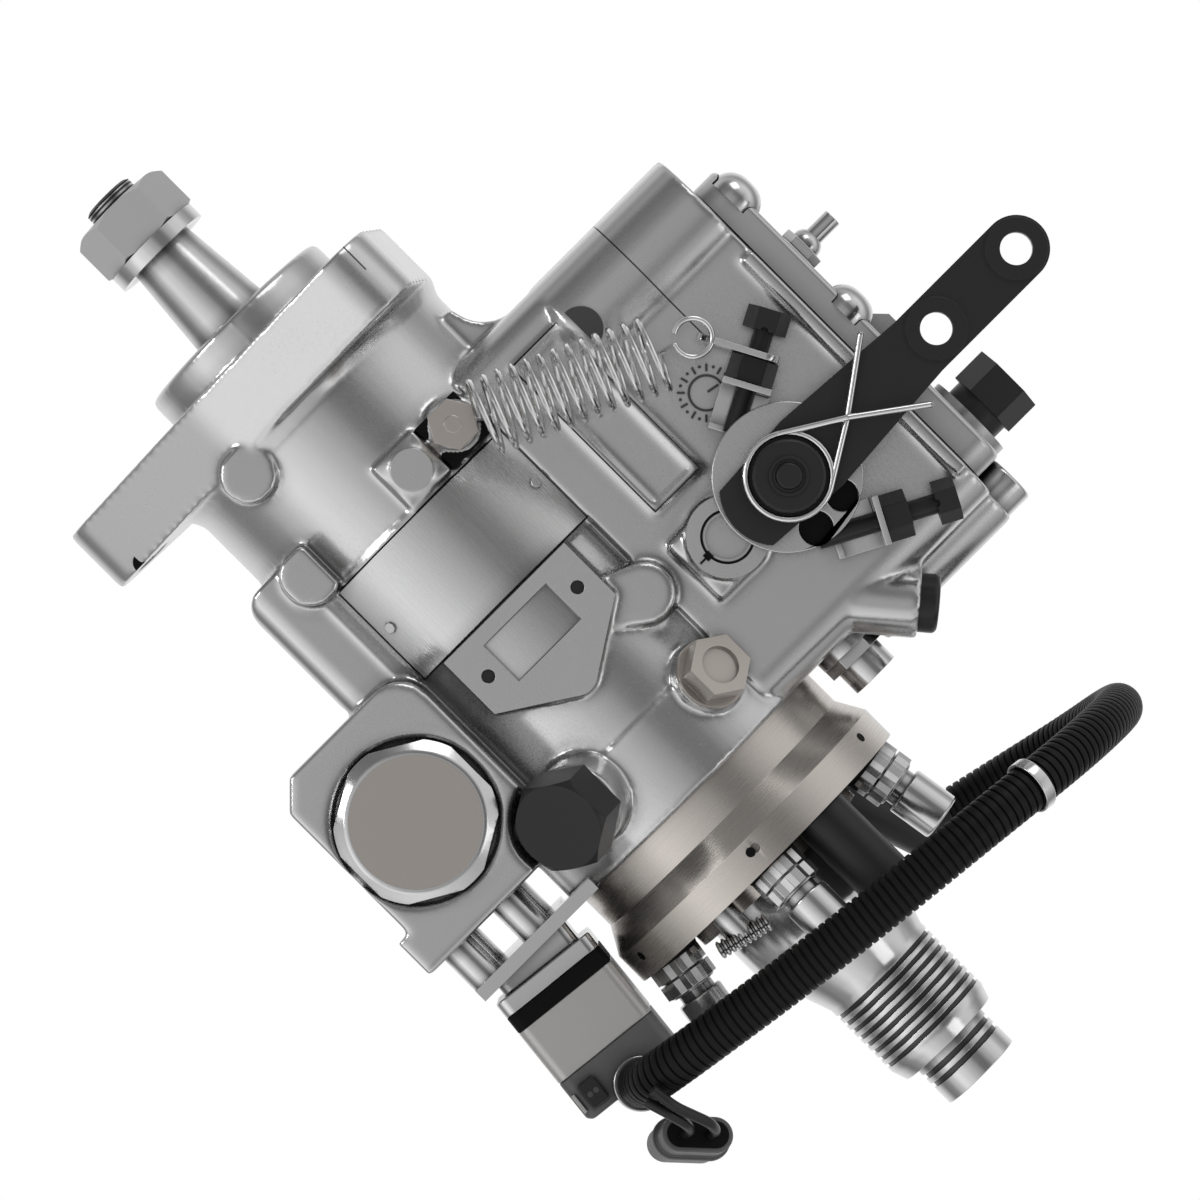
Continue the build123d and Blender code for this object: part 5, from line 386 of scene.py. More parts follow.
class Shape:
    """A mesh under construction, in millimetres, made with mesh operators."""

    def __init__(self) -> None:
        """Starts empty."""
        self.mesh = bmesh.new()

    def turned(
        self, profile: Sequence[Point], place: Matrix, steps: int = 64, turn: float = 360.0
    ) -> "Shape":
        """Spins an outline of (distance along, radius) points round a frame's z axis.

        Args:
            profile: The outline, closed on the axis or in itself.
            place: The frame.
            steps: How many steps a full turn has.
            turn: How far it is spun, in degrees, evenly to both sides of the frame's x axis.

        Returns:
            This shape.
        """
        part = bmesh.new()
        whole = turn >= 360.0
        points = [part.verts.new((radius, 0.0, height)) for height, radius in profile]
        edges = [part.edges.new(pair) for pair in zip(points, points[1:])]
        if profile[0][1] > 0.0 or profile[-1][1] > 0.0 or not whole:
            edges.append(part.edges.new((points[-1], points[0])))
        if not whole:
            back = Matrix.Rotation(math.radians(-turn / 2), 3, "Z")
            bmesh.ops.rotate(part, cent=(0, 0, 0), matrix=back, verts=part.verts)
            part.faces.new(points)
        bmesh.ops.spin(
            part, geom=part.faces[:] if not whole else points + edges, cent=(0, 0, 0),
            axis=(0, 0, 1), dvec=(0, 0, 0), angle=math.radians(turn),
            steps=max(2, round(steps * turn / 360)), use_merge=whole, use_duplicate=False,
        )
        bmesh.ops.remove_doubles(part, verts=part.verts, dist=0.001)
        return self._take(part, place)

    def coil(
        self, wire: float, radius: float, place: Matrix, turns: float, height: float,
        sides: int = 10,
    ) -> "Shape":
        """Winds round wire about a frame's z axis, from the frame's x axis on.

        Args:
            wire: The wire's radius.
            radius: The radius of the winding.
            place: The frame.
            turns: How many turns it makes, parts of one too.
            height: How far it rises.
            sides: How many sides the wire has.

        Returns:
            This shape.
        """
        part = bmesh.new()
        steps = max(6, round(40 * abs(turns)))
        section = Matrix.Translation((radius, 0, 0)) @ Matrix.Rotation(math.pi / 2, 4, "X")
        bmesh.ops.create_circle(part, cap_ends=False, radius=wire, segments=sides, matrix=section)
        bmesh.ops.spin(
            part, geom=part.verts[:] + part.edges[:], cent=(0, 0, 0), axis=(0, 0, 1),
            dvec=(0, 0, height / steps), angle=2 * math.pi * turns, steps=steps,
            use_merge=False, use_duplicate=False,
        )
        bmesh.ops.holes_fill(part, edges=part.edges, sides=sides)
        return self._take(part, place)

    def rod(
        self, radius: float, place: Matrix, height: float, tip: float | None = None,
        sides: int = 64, turn: float = 0.0,
    ) -> "Shape":
        """A round or many-sided rod from a frame's origin along its z axis.

        Args:
            radius: Its radius, to the corners.
            place: The frame.
            height: Its length.
            tip: Its radius at the far end, where that differs.
            sides: How many sides it has.
            turn: How far its first corner is turned from the x axis, in degrees.

        Returns:
            This shape.
        """
        part = bmesh.new()
        seat = Matrix.Translation((0, 0, height / 2)) @ Matrix.Rotation(math.radians(turn), 4, "Z")
        bmesh.ops.create_cone(
            part, cap_ends=True, cap_tris=False, segments=sides, radius1=radius,
            radius2=radius if tip is None else tip, depth=height, matrix=seat,
        )
        return self._take(part, place)

    def hexagon(self, flats: float, place: Matrix, height: float, turn: float = 0.0) -> "Shape":
        """A hexagonal prism of a given size across its flats."""
        return self.rod(flats / math.sqrt(3), place, height, sides=6, turn=turn)

    def tube(self, outer: float, inner: float, place: Matrix, height: float) -> "Shape":
        """A plain ring or sleeve."""
        return self.turned(((0, outer), (height, outer), (height, inner), (0, inner)), place)

    def ball(self, radius: float, centre: Point) -> "Shape":
        """A small ball, as at a wire's bend.

        Args:
            radius: Its radius.
            centre: Its centre.

        Returns:
            This shape.
        """
        part = bmesh.new()
        bmesh.ops.create_uvsphere(part, u_segments=16, v_segments=10, radius=radius)
        return self._take(part, Matrix.Translation(Vector(centre)))

    def link(self, radius: float, start: Point, end: Point) -> "Shape":
        """A straight wire between two points, with round ends.

        Args:
            radius: The wire's radius.
            start: The one point.
            end: The other point.

        Returns:
            This shape.
        """
        run = Vector(end) - Vector(start)
        self.rod(radius, facing(start, run), run.length, sides=12)
        return self.ball(radius, start).ball(radius, end)

    def slab(self, outline: Sequence[Point], place: Matrix, height: float) -> "Shape":
        """Raises a flat outline along a frame's z axis.

        Args:
            outline: Its corners in the frame's x and y.
            place: The frame.
            height: How thick it gets.

        Returns:
            This shape.
        """
        part = bmesh.new()
        face = part.faces.new([part.verts.new((x, y, 0.0)) for x, y in outline])
        raised = bmesh.ops.extrude_face_region(part, geom=[face])
        moved = [item for item in raised["geom"] if isinstance(item, bmesh.types.BMVert)]
        bmesh.ops.translate(part, verts=moved, vec=(0, 0, height))
        return self._take(part, place)

    def border(
        self, low: Point, high: Point, width: float, place: Matrix, height: float
    ) -> "Shape":
        """A raised rectangular border between two corners in a frame's x and y.

        Args:
            low: The outer corner with the lower coordinates.
            high: The outer corner with the higher coordinates.
            width: How wide the border is.
            place: The frame.
            height: How high it stands.

        Returns:
            This shape.
        """
        part = bmesh.new()
        corners = (low, (high[0], low[1]), high, (low[0], high[1]))
        inner = part.faces.new([part.verts.new((x, y, 0.0)) for x, y in corners])
        rim = bmesh.ops.inset_region(part, faces=[inner], thickness=width, use_boundary=True)
        bmesh.ops.delete(part, geom=[inner], context="FACES")
        raised = bmesh.ops.extrude_face_region(part, geom=rim["faces"])
        moved = [item for item in raised["geom"] if isinstance(item, bmesh.types.BMVert)]
        bmesh.ops.translate(part, verts=moved, vec=(0, 0, height))
        return self._take(part, place)

    def block(self, low: Point, high: Point) -> "Shape":
        """A box between two corners of the part's frame.

        Args:
            low: The corner with the lower coordinates.
            high: The corner with the higher coordinates.

        Returns:
            This shape.
        """
        low, high = Vector(low), Vector(high)
        part = bmesh.new()
        bmesh.ops.create_cube(part, size=1.0, matrix=Matrix.Diagonal((*(high - low), 1.0)))
        return self._take(part, Matrix.Translation((low + high) / 2))

    def node(self, name: str) -> "Shape":
        """A merged copy of a solid of the frame.

        Args:
            name: The solid's name.

        Returns:
            This shape.
        """
        part = bmesh.new()
        part.from_mesh(frame["nodes"][name].data)
        bmesh.ops.scale(part, vec=(1 / MM,) * 3, verts=part.verts)
        bmesh.ops.remove_doubles(part, verts=part.verts, dist=0.002)
        bmesh.ops.dissolve_limit(
            part, angle_limit=math.radians(0.15), verts=part.verts, edges=part.edges
        )
        return self._take(part, Matrix.Identity(4), turn_out=False)

    def _take(self, part: bmesh.types.BMesh, place: Matrix, turn_out: bool = True) -> "Shape":
        """Moves a made piece into place and joins it on.

        Args:
            part: The piece, which is freed.
            place: The frame that it was made in.
            turn_out: Whether its faces are turned outwards.

        Returns:
            This shape.
        """
        bmesh.ops.transform(part, matrix=place, verts=part.verts)
        if turn_out:
            bmesh.ops.recalc_face_normals(part, faces=part.faces)
        spare = bpy.data.meshes.new("spare")
        part.to_mesh(spare)
        part.free()
        self.mesh.from_mesh(spare)
        bpy.data.meshes.remove(spare)
        return self

    def spare_object(self, name: str) -> bpy.types.Object:
        """A passing object that holds this shape.

        Args:
            name: The object's name.

        Returns:
            The object.
        """
        data = bpy.data.meshes.new(name)
        self.mesh.to_mesh(data)
        spare = bpy.data.objects.new(name, data)
        bpy.context.scene.collection.objects.link(spare)
        return spare

    def piece(
        self, name: str, body: str, finish: str, replaces: Iterable[str] = (), edge: float = 0.0,
        segments: int = 2, angle: float = 35.0,
    ) -> bpy.types.Object:
        """Ends the shape as a piece of the pump.

        Args:
            name: The piece's name.
            body: The body it rides on.
            finish: Its finish, which is also the record's slot.
            replaces: The solids it stands for.
            edge: How wide its softened edges are.
            segments: How many facets a softened edge has.
            angle: The angle in degrees above which an edge stays sharp or is softened.

        Returns:
            The piece.
        """
        bmesh.ops.scale(self.mesh, vec=(MM,) * 3, verts=self.mesh.verts)
        data = bpy.data.meshes.new(name)
        self.mesh.to_mesh(data)
        self.mesh.free()
        data.shade_smooth()
        made = bpy.data.objects.new(name, data)
        bpy.context.scene.collection.objects.link(made)
        if edge > 0.0:
            bevel = made.modifiers.new("edges", "BEVEL")
            bevel.width = edge * MM
            bevel.segments = segments
            bevel.limit_method = "ANGLE"
            bevel.angle_limit = math.radians(angle)
            bevel.harden_normals = True
            even = made.modifiers.new("even_shading", "WEIGHTED_NORMAL")
            even.keep_sharp = True
            made.data = baked_mesh(made)
            made.modifiers.clear()
            bpy.data.meshes.remove(data)
        else:
            data.set_sharp_from_angle(angle=math.radians(angle))
        return settled(made, body, finish, replaces)


def settled(
    made: bpy.types.Object, body: str, finish: str, replaces: Iterable[str] = ()
) -> bpy.types.Object:
    """Gives a piece its finish and its body.

    Args:
        made: The piece.
        body: The body it rides on.
        finish: Its finish, which is also the record's slot.
        replaces: The solids it stands for.

    Returns:
        The piece.
    """
    made.data.materials.clear()
    made.data.materials.append(FINISHES[finish].made())
    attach(made, body)
    if replaces:
        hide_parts(*replaces)
    LOG.info("%s: %d faces on %s", made.name, len(made.data.polygons), body)
    return made


def baked_mesh(made: bpy.types.Object) -> bpy.types.Mesh:
    """The mesh of an object with its modifiers applied.

    Args:
        made: The object.

    Returns:
        The new mesh.
    """
    bpy.context.view_layer.update()
    graph = bpy.context.evaluated_depsgraph_get()
    return bpy.data.meshes.new_from_object(made.evaluated_get(graph))


def body_of(node: str) -> str:
    """The body that a solid of the frame rides on."""
    return frame["nodes"][node]["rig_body"]


def dressed(
    node: str, edge: float, finish: str | None = None, segments: int = 2, angle: float = 35.0
) -> bpy.types.Object:
    """A copy of a solid with softened edges, which stands for it.

    Args:
        node: The solid's name.
        edge: How wide its softened edges are.
        finish: Its finish, where that isn't the record's.
        segments: How many facets an edge gets.
        angle: The angle in degrees above which an edge is softened.

    Returns:
        The piece.
    """
    look = finish or SLOT_OF[node]
    shape = Shape().node(node)
    return shape.piece(f"{node}_look", body_of(node), look, [node], edge, segments, angle)


@dataclass
class Studio:
    """The camera, the lamps, the floor and the surround."""

    aim: tuple[float, float, float] = (104.5, 0.0, 16.0)
    distance: float = 1800.0
    width: float = 300.0
    floor_y: float = -500.0
    floor_z: float = -250.0
    floor_radius: float = 900.0
    upright_levels: tuple[Point, ...] = (
        (0.0, 1.0), (0.10, 0.60), (0.19, 0.24), (0.25, 0.34), (0.30, 0.80), (0.355, 1.38),
        (0.415, 1.10), (0.46, 0.80), (0.50, 0.56), (0.535, 0.22), (0.575, 0.20), (0.62, 0.60),
        (0.67, 0.90), (0.72, 0.98), (0.77, 0.55), (0.83, 0.26), (0.91, 0.60), (1.0, 1.0),
    )
    level_levels: tuple[Point, ...] = (
        (0.0, 1.0), (0.15, 0.60), (0.21, 1.25), (0.29, 0.30), (0.36, 0.50), (0.43, 1.0),
        (0.50, 1.0), (0.55, 0.60), (0.60, 1.0), (0.67, 1.25), (0.74, 0.9), (0.84, 0.2),
        (0.93, 0.7), (1.0, 1.0),
    )

    def camera(self) -> None:
        """Stands the camera square to the lever side, rolled by an eighth of a turn."""
        data = bpy.data.cameras.new("camera")
        data.angle = 2 * math.atan(self.width / 2 / self.distance)
        data.clip_end = 20.0
        camera = bpy.data.objects.new("camera", data)
        bpy.context.scene.collection.objects.link(camera)
        half = math.sqrt(0.5)
        turned = Matrix(((half, -half, 0), (0, 0, -1), (half, half, 0))).to_4x4()
        eye = Vector(self.aim) + LEVER_SIDE * self.distance
        camera.matrix_world = Matrix.Translation(eye * MM) @ turned
        bpy.context.scene.camera = camera

    def lamp(self, name: str, place: Point, size: float, power: float) -> None:
        """A square soft lamp that shines at the pump.

        Args:
            name: The lamp's name.
            place: Where it stands, in millimetres.
            size: Its side, in millimetres.
            power: Its power in watts.
        """
        data = bpy.data.lights.new(name, "AREA")
        data.shape = "SQUARE"
        data.size = size * MM
        data.energy = power
        lamp = bpy.data.objects.new(name, data)
        bpy.context.scene.collection.objects.link(lamp)
        run = Vector(self.aim) - Vector(place)
        turned = run.to_track_quat("-Z", "Y").to_matrix().to_4x4()
        lamp.matrix_world = Matrix.Translation(Vector(place) * MM) @ turned

    def surround(self) -> None:
        """Lights the world: white behind the pump, and a studio's soft greys round the camera."""
        world = bpy.data.worlds.new("surround")
        bpy.context.scene.world = world
        world.use_nodes = True
        graph = Graph(world.node_tree)
        direction = graph.node("ShaderNodeTexCoord", {}, {}, output="Generated")
        across, away, up = (
            graph.node("ShaderNodeSeparateXYZ", {}, {0: direction}, output=name) for name in "XYZ"
        )
        upright = self.banded(graph, up, away, self.upright_levels)
        level = self.banded(graph, across, away, self.level_levels)
        upright_share = (up * up + away * away).clamped()
        level_share = (across * across + away * away).clamped()
        studio = (0.56 + (upright - 0.56) * upright_share) * (1.0 + (level - 1.0) * level_share)
        seen, glossy, through = (
            graph.node("ShaderNodeLightPath", {}, {}, output=f"Is {name} Ray")
            for name in ("Camera", "Glossy", "Transmission")
        )
        behind = (away * 2.0 - 0.6).clamped()
        white = (seen + (glossy + through) * behind).clamped()
        colour = graph.mixed(studio, (1.0, 1.0, 1.0, 1.0), white)
        back = graph.node("ShaderNodeBackground", {}, {"Color": colour, "Strength": 1.0})
        graph.ended("ShaderNodeOutputWorld", back)

    def banded(self, graph: Graph, side: Value, away: Value, levels: Sequence[Point]) -> Value:
        """The studio's grey by the angle round one of its axes, from behind to behind.

        Args:
            graph: The world's graph.
            side: The direction's share along the turned axis.
            away: The direction's share away from the camera.
            levels: The stops of the ramp.

        Returns:
            The grey level.
        """
        angle = graph.math("ARCTAN2", side, away * -1.0)
        place = angle * (0.5 / math.pi) + 0.5
        stops = tuple((at, level / 2) for at, level in levels)
        return graph.node("ShaderNodeValToRGB", {"stops": stops}, {"Fac": place}) * 2.0

    def floor(self) -> None:
        """Lays the pale floor under the pump, which hangs clear of it."""
        mesh = bmesh.new()
        middle = Vector((self.aim[0], self.floor_y, self.floor_z)) * MM
        bmesh.ops.create_circle(
            mesh, cap_ends=True, radius=self.floor_radius * MM, segments=96,
            matrix=Matrix.Translation(middle),
        )
        data = bpy.data.meshes.new("floor")
        mesh.to_mesh(data)
        mesh.free()
        floor = bpy.data.objects.new("floor", data)
        bpy.context.scene.collection.objects.link(floor)
        paint = Finish(
            "floor_paint", (0.80, 0.80, 0.80), 0.0, 0.7, Lay.MOULDED, 0.0, 0.02, crease_shade=0.0
        )
        material = paint.made()
        self.see_through_for_reflections(material)
        data.materials.append(material)

    def see_through_for_reflections(self, material: bpy.types.Material) -> None:
        """Lets mirrored and refracted rays pass the floor, so that metal shows the background.

        Args:
            material: The floor's material.
        """
        graph = Graph(material.node_tree, emptied=False)
        output = next(node for node in graph.tree.nodes if node.type == "OUTPUT_MATERIAL")
        paint = Value(graph, output.inputs["Surface"].links[0].from_socket)
        glossy, through = (
            graph.node("ShaderNodeLightPath", {}, {}, output=f"Is {name} Ray")
            for name in ("Glossy", "Transmission")
        )
        clear = graph.node("ShaderNodeBsdfTransparent", {}, {})
        either = (glossy + through).clamped()
        mixed = graph.node("ShaderNodeMixShader", {}, {0: either, 1: paint, 2: clear})
        graph.feed(output.inputs["Surface"], mixed)

    def build(self) -> None:
        """Sets the whole studio up."""
        bpy.context.scene.view_settings.view_transform = "Standard"
        self.camera()
        self.surround()
        self.lamp("left_lamp", (-620.0, -560.0, -520.0), 380.0, 2.4)
        self.lamp("top_lamp", (-520.0, -520.0, 820.0), 520.0, 1.6)
        self.lamp("right_lamp", (900.0, -700.0, 420.0), 420.0, 0.6)
        self.floor()


@dataclass
class Harness:
    """The corrugated conduit with its bands, the two leads and the connector."""

    radius: float = 6.0
    groove: float = 0.55
    pitch: float = 2.05
    route: tuple[Point, ...] = (
        (195.7, -31.5, -60.8),
        (195.9, -41.0, -59.6),
        (196.9, -49.5, -51.8),
        (198.6, -53.8, -39.4),
        (201.6, -57.0, -18.0),
        (205.0, -59.5, 10.0),
        (208.5, -58.0, 44.0),
        (212.5, -44.0, 72.5),
        (214.5, -19.0, 88.5),
        (214.7, 6.5, 88.5),
        (213.5, 25.5, 76.5),
        (209.8, 36.0, 58.0),
        (206.0, 37.0, 41.0),
    )
    connector_place: tuple[float, float, float] = (214.0, -36.5, -59.5)
    connector_across: tuple[float, float, float] = (0.722, 0.235, 0.65)
    connector_run: tuple[float, float, float] = (0.0, 0.94, -0.342)
    connector_half: float = 4.4
    connector_seal: float = 3.4

    def line(self) -> bpy.types.Object:
        """Draws the conduit's smooth centre line, through the same points as the solid's.

        Returns:
            The line.
        """
        curve = bpy.data.curves.new("conduit_line", "CURVE")
        curve.dimensions = "3D"
        curve.resolution_u = 24
        spline = curve.splines.new("NURBS")
        spline.points.add(len(self.route) - 1)
        for point, place in zip(spline.points, self.route):
            point.co = (*(Vector(place) * MM), 1.0)
        spline.order_u = 3
        spline.use_endpoint_u = True
        made = bpy.data.objects.new("conduit_line", curve)
        bpy.context.scene.collection.objects.link(made)
        return made

    def conduit(self) -> None:
        line = self.line()
        trace = baked_mesh(line)
        path = [vertex.co.copy() for vertex in trace.vertices]
        length = sum((after - before).length for before, after in zip(path, path[1:]))
        rings = round(length / MM / self.pitch)
        step = length / MM / rings
        shape = Shape()
        profile = [(0.0, 0.0)]
        inner = self.radius - self.groove
        for ring in range(rings):
            start = ring * step
            profile += [
                (start, inner),
                (start + 0.16 * step, inner),
                (start + 0.24 * step, self.radius - 0.10),
                (start + 0.58 * step, self.radius),
                (start + 0.92 * step, self.radius - 0.10),
            ]
        profile += [(length / MM, inner), (length / MM, 0.0)]
        shape.turned(profile, facing((0, 0, 0), ALONG), steps=36)
        bmesh.ops.scale(shape.mesh, vec=(MM,) * 3, verts=shape.mesh.verts)
        data = bpy.data.meshes.new("conduit_straight")
        shape.mesh.to_mesh(data)
        shape.mesh.free()
        data.shade_smooth()
        data.set_sharp_from_angle(angle=math.radians(38.0))
        straight = bpy.data.objects.new("conduit_straight", data)
        bpy.context.scene.collection.objects.link(straight)
        bend = straight.modifiers.new("bend", "CURVE")
        bend.object = line
        bend.deform_axis = "POS_X"
        made = bpy.data.objects.new("conduit_look", baked_mesh(straight))
        bpy.context.scene.collection.objects.link(made)
        for spare in (straight, line):
            bpy.data.objects.remove(spare)
        settled(made, "housing", "conduit_plastic", ["conduit"])

    def connector(self) -> None:
        """The connector's grey shell with the dark seal on its near face."""
        dressed("connector", 0.9, "grey_plastic", 3)
        half, radius = self.connector_half, self.connector_seal
        place = facing(
            self.connector_place, -Vector(self.connector_run), Vector(self.connector_across)
        )
        seal = Shape()
        for side in (-1, 1):
            seal.rod(radius, place @ Matrix.Translation((side * half, 0, -0.2)), 0.45, sides=32)
        middle = ((-half, -radius), (half, -radius), (half, radius), (-half, radius))
        seal.slab(middle, place @ Matrix.Translation((0, 0, -0.2)), 0.44)
        seal.piece("connector_seal", "housing", "black_rubber")

    def build(self) -> None:
        """Makes the harness."""
        self.conduit()
        dressed("conduit_band", 0.35, "plated_steel")
        dressed("lead_wires", 0.0, "black_plastic")
        self.connector()


@dataclass
class Casting:
    """The pump and governor housings as one casting, with every inside corner rounded."""

    cell: float = 0.75
    smoothing: int = 9
    keep: float = 0.26
    slot_centre: tuple[float, float, float] = (17.9, -11.0, -57.3)
    slot_radius: float = 3.0
    slot_depth: float = 0.6

    def skin(self) -> None:
        """Skins the two solids together, as they are one casting on the real pump."""
        shape = Shape().node("pump_housing").node("governor_housing")
        spare = shape.spare_object("casting_spare")
        for vertex in spare.data.vertices:
            vertex.co *= MM
        skin = spare.modifiers.new("skin", "REMESH")
        skin.mode = "VOXEL"
        skin.voxel_size = self.cell * MM
        ease = spare.modifiers.new("ease", "SMOOTH")
        ease.factor = 0.5
        ease.iterations = self.smoothing
        thin = spare.modifiers.new("thin", "DECIMATE")
        thin.ratio = self.keep
        made = bpy.data.objects.new("casting_look", baked_mesh(spare))
        bpy.context.scene.collection.objects.link(made)
        bpy.data.objects.remove(spare)
        made.data.shade_smooth()
        made.data.set_sharp_from_angle(angle=math.radians(70.0))
        settled(made, "housing", "cast_aluminium", ["pump_housing", "governor_housing"])

    def flange_slot_shade(self) -> None:
        """A black half-disc painted as the shade in the mouth of the slot at the edge of the
        flange's lower ear.
        """
        radius, depth = self.slot_radius, self.slot_depth
        profile = ((0.0, 0.0), (0.0, radius), (depth, radius), (depth, 0.0))
        slot = Shape().turned(profile, facing(self.slot_centre, LEVER_SIDE, -ALONG), 32, 180.0)
        # Painted shade: black half-disc where the slot's hollow falls dark.
        slot.piece("flange_slot_shade", "housing", "black_rubber")

    def build(self) -> None:
        """Makes the casting."""
        self.skin()
        self.flange_slot_shade()


@dataclass
class GovernorSide:
    """The fine cast forms on the governor's lever side."""

    wall_y: float = -33.0
    frame_low: tuple[float, float] = (48.6, 40.7)
    frame_high: tuple[float, float] = (99.0, 56.4)
    frame_border: float = 1.5
    frame_proud: float = 1.65
    dial_x: float = 87.0
    dial_z: float = 70.4
    dial_radius: float = 4.3
    tick_start: float = 5.3
    tick_reach: float = 7.2
    line_half: float = 0.28
    first_tick: float = 45.0
    dot_reach: float = 6.6
    dot_radius: float = 0.38
    hand_turn: float = 80.0
    hand_start: float = 0.4
    hand_reach: float = 3.6
    ticks: int = 12
    recess_centre: tuple[float, float, float] = (54.2, -35.0, 59.6)
    recess_radius: float = 5.6
    recess_height: float = 1.75

    def wall(self, x: float = 0.0, z: float = 0.0) -> Matrix:
        """A frame on the wall, with x along the shaft, y up and z towards the lever side.

        Args:
            x: Where its origin is along the shaft.
            z: How high its origin is.

        Returns:
            The frame's matrix.
        """
        base = Matrix(((1, 0, 0), (0, 0, -1), (0, 1, 0))).to_4x4()
        return Matrix.Translation((x, self.wall_y + 0.05, z)) @ base

    def frame(self) -> None:
        """The raised rectangular frame, which is bare inside."""
        shape = Shape().border(
            self.frame_low, self.frame_high, self.frame_border, self.wall(), self.frame_proud
        )
        shape.piece("cast_frame", "housing", "cast_aluminium", edge=0.5, segments=3)

    def stroke(self, start: float, reach: float) -> tuple[Point, ...]:
        """The outline of a stroke of the dial, from the dial's centre outwards."""
        half = self.line_half
        return ((start, -half), (reach, -half), (reach, half), (start, half))

    def dial(self) -> None:
        """The small dial cast in the wall: a ring, its ticks, its dots and its pointer, in dark
        steel as painted shade of relief in the wall's own metal.
        """
        centre = self.wall(self.dial_x, self.dial_z)
        dial = Shape().tube(self.dial_radius + 0.3, self.dial_radius - 0.3, centre, 0.4)
        for tick in range(self.ticks):
            turn = math.radians(self.first_tick + 360.0 * tick / self.ticks)
            place = centre @ Matrix.Rotation(turn, 4, "Z")
            dial.slab(self.stroke(self.tick_start, self.tick_reach), place, 0.45)
            halfway = place @ Matrix.Rotation(math.pi / self.ticks, 4, "Z")
            dot = halfway @ Matrix.Translation((self.dot_reach, 0, 0))
            dial.rod(self.dot_radius, dot, 0.4, sides=12)
        hand = centre @ Matrix.Rotation(math.radians(self.hand_turn), 4, "Z")
        dial.slab(self.stroke(self.hand_start, self.hand_reach), hand, 0.45)
        # Painted shade: the dial's relief is coloured dark instead of the wall's metal.
        dial.piece("dial_painted_dark", "housing", "dark_steel", edge=0.1)

    def foot_recess_shade(self) -> None:
        """A dark half-disc painted as the shade of the half-round hollow under the foot of the
        front column.
        """
        place = facing(self.recess_centre, LEVER_SIDE, UP)
        radius, height = self.recess_radius, self.recess_height
        profile = ((0.0, 0.0), (0.0, radius), (height, radius), (height, 0.0))
        half = Shape().turned(profile, place, turn=180.0)
        # Painted shade: dark half-disc for the hollow's shade.
        half.piece("foot_recess_shade", "housing", "dark_steel")

    def build(self) -> None:
        """Makes the governor side's forms."""
        self.frame()
        self.dial()
        self.foot_recess_shade()


@dataclass
class GovernorTop:
    """The cover with its fittings, and what stands on the housing's rear."""

    terminal_x: float = 78.0
    cover_top: float = 111.0

    def terminal(self) -> None:
        """The terminal's nuts on a dark collar, with the domed nut round the stud."""
        dressed("terminal_stud", 0.3, "plated_steel")
        place = facing((self.terminal_x, 0.0, self.cover_top - 0.2), UP, ALONG)
        Shape().rod(6.3, place, 1.0).piece("terminal_collar", "housing", "dark_steel", edge=0.3)
        dome = facing((self.terminal_x, 0.0, self.cover_top + 4.0), UP, ALONG)
        profile = ((0.0, 0.0), (0.0, 4.0), (1.3, 3.9), (2.4, 3.3), (3.1, 2.5), (3.1, 0.0))
        Shape().turned(profile, dome, 40).piece("terminal_dome", "housing", "plated_steel")

    def build(self) -> None:
        """Makes the top."""
        dressed("governor_cover", 1.2, "cover_metal", 3)
        dressed("cover_screws", 0.0, "plated_steel")
        dressed("return_fitting", 0.6, "black_steel")
        dressed("shutoff_coil", 0.4)
        dressed("angled_plug", 0.0, "black_plastic")
        dressed("side_fitting", 0.4)
        self.terminal()


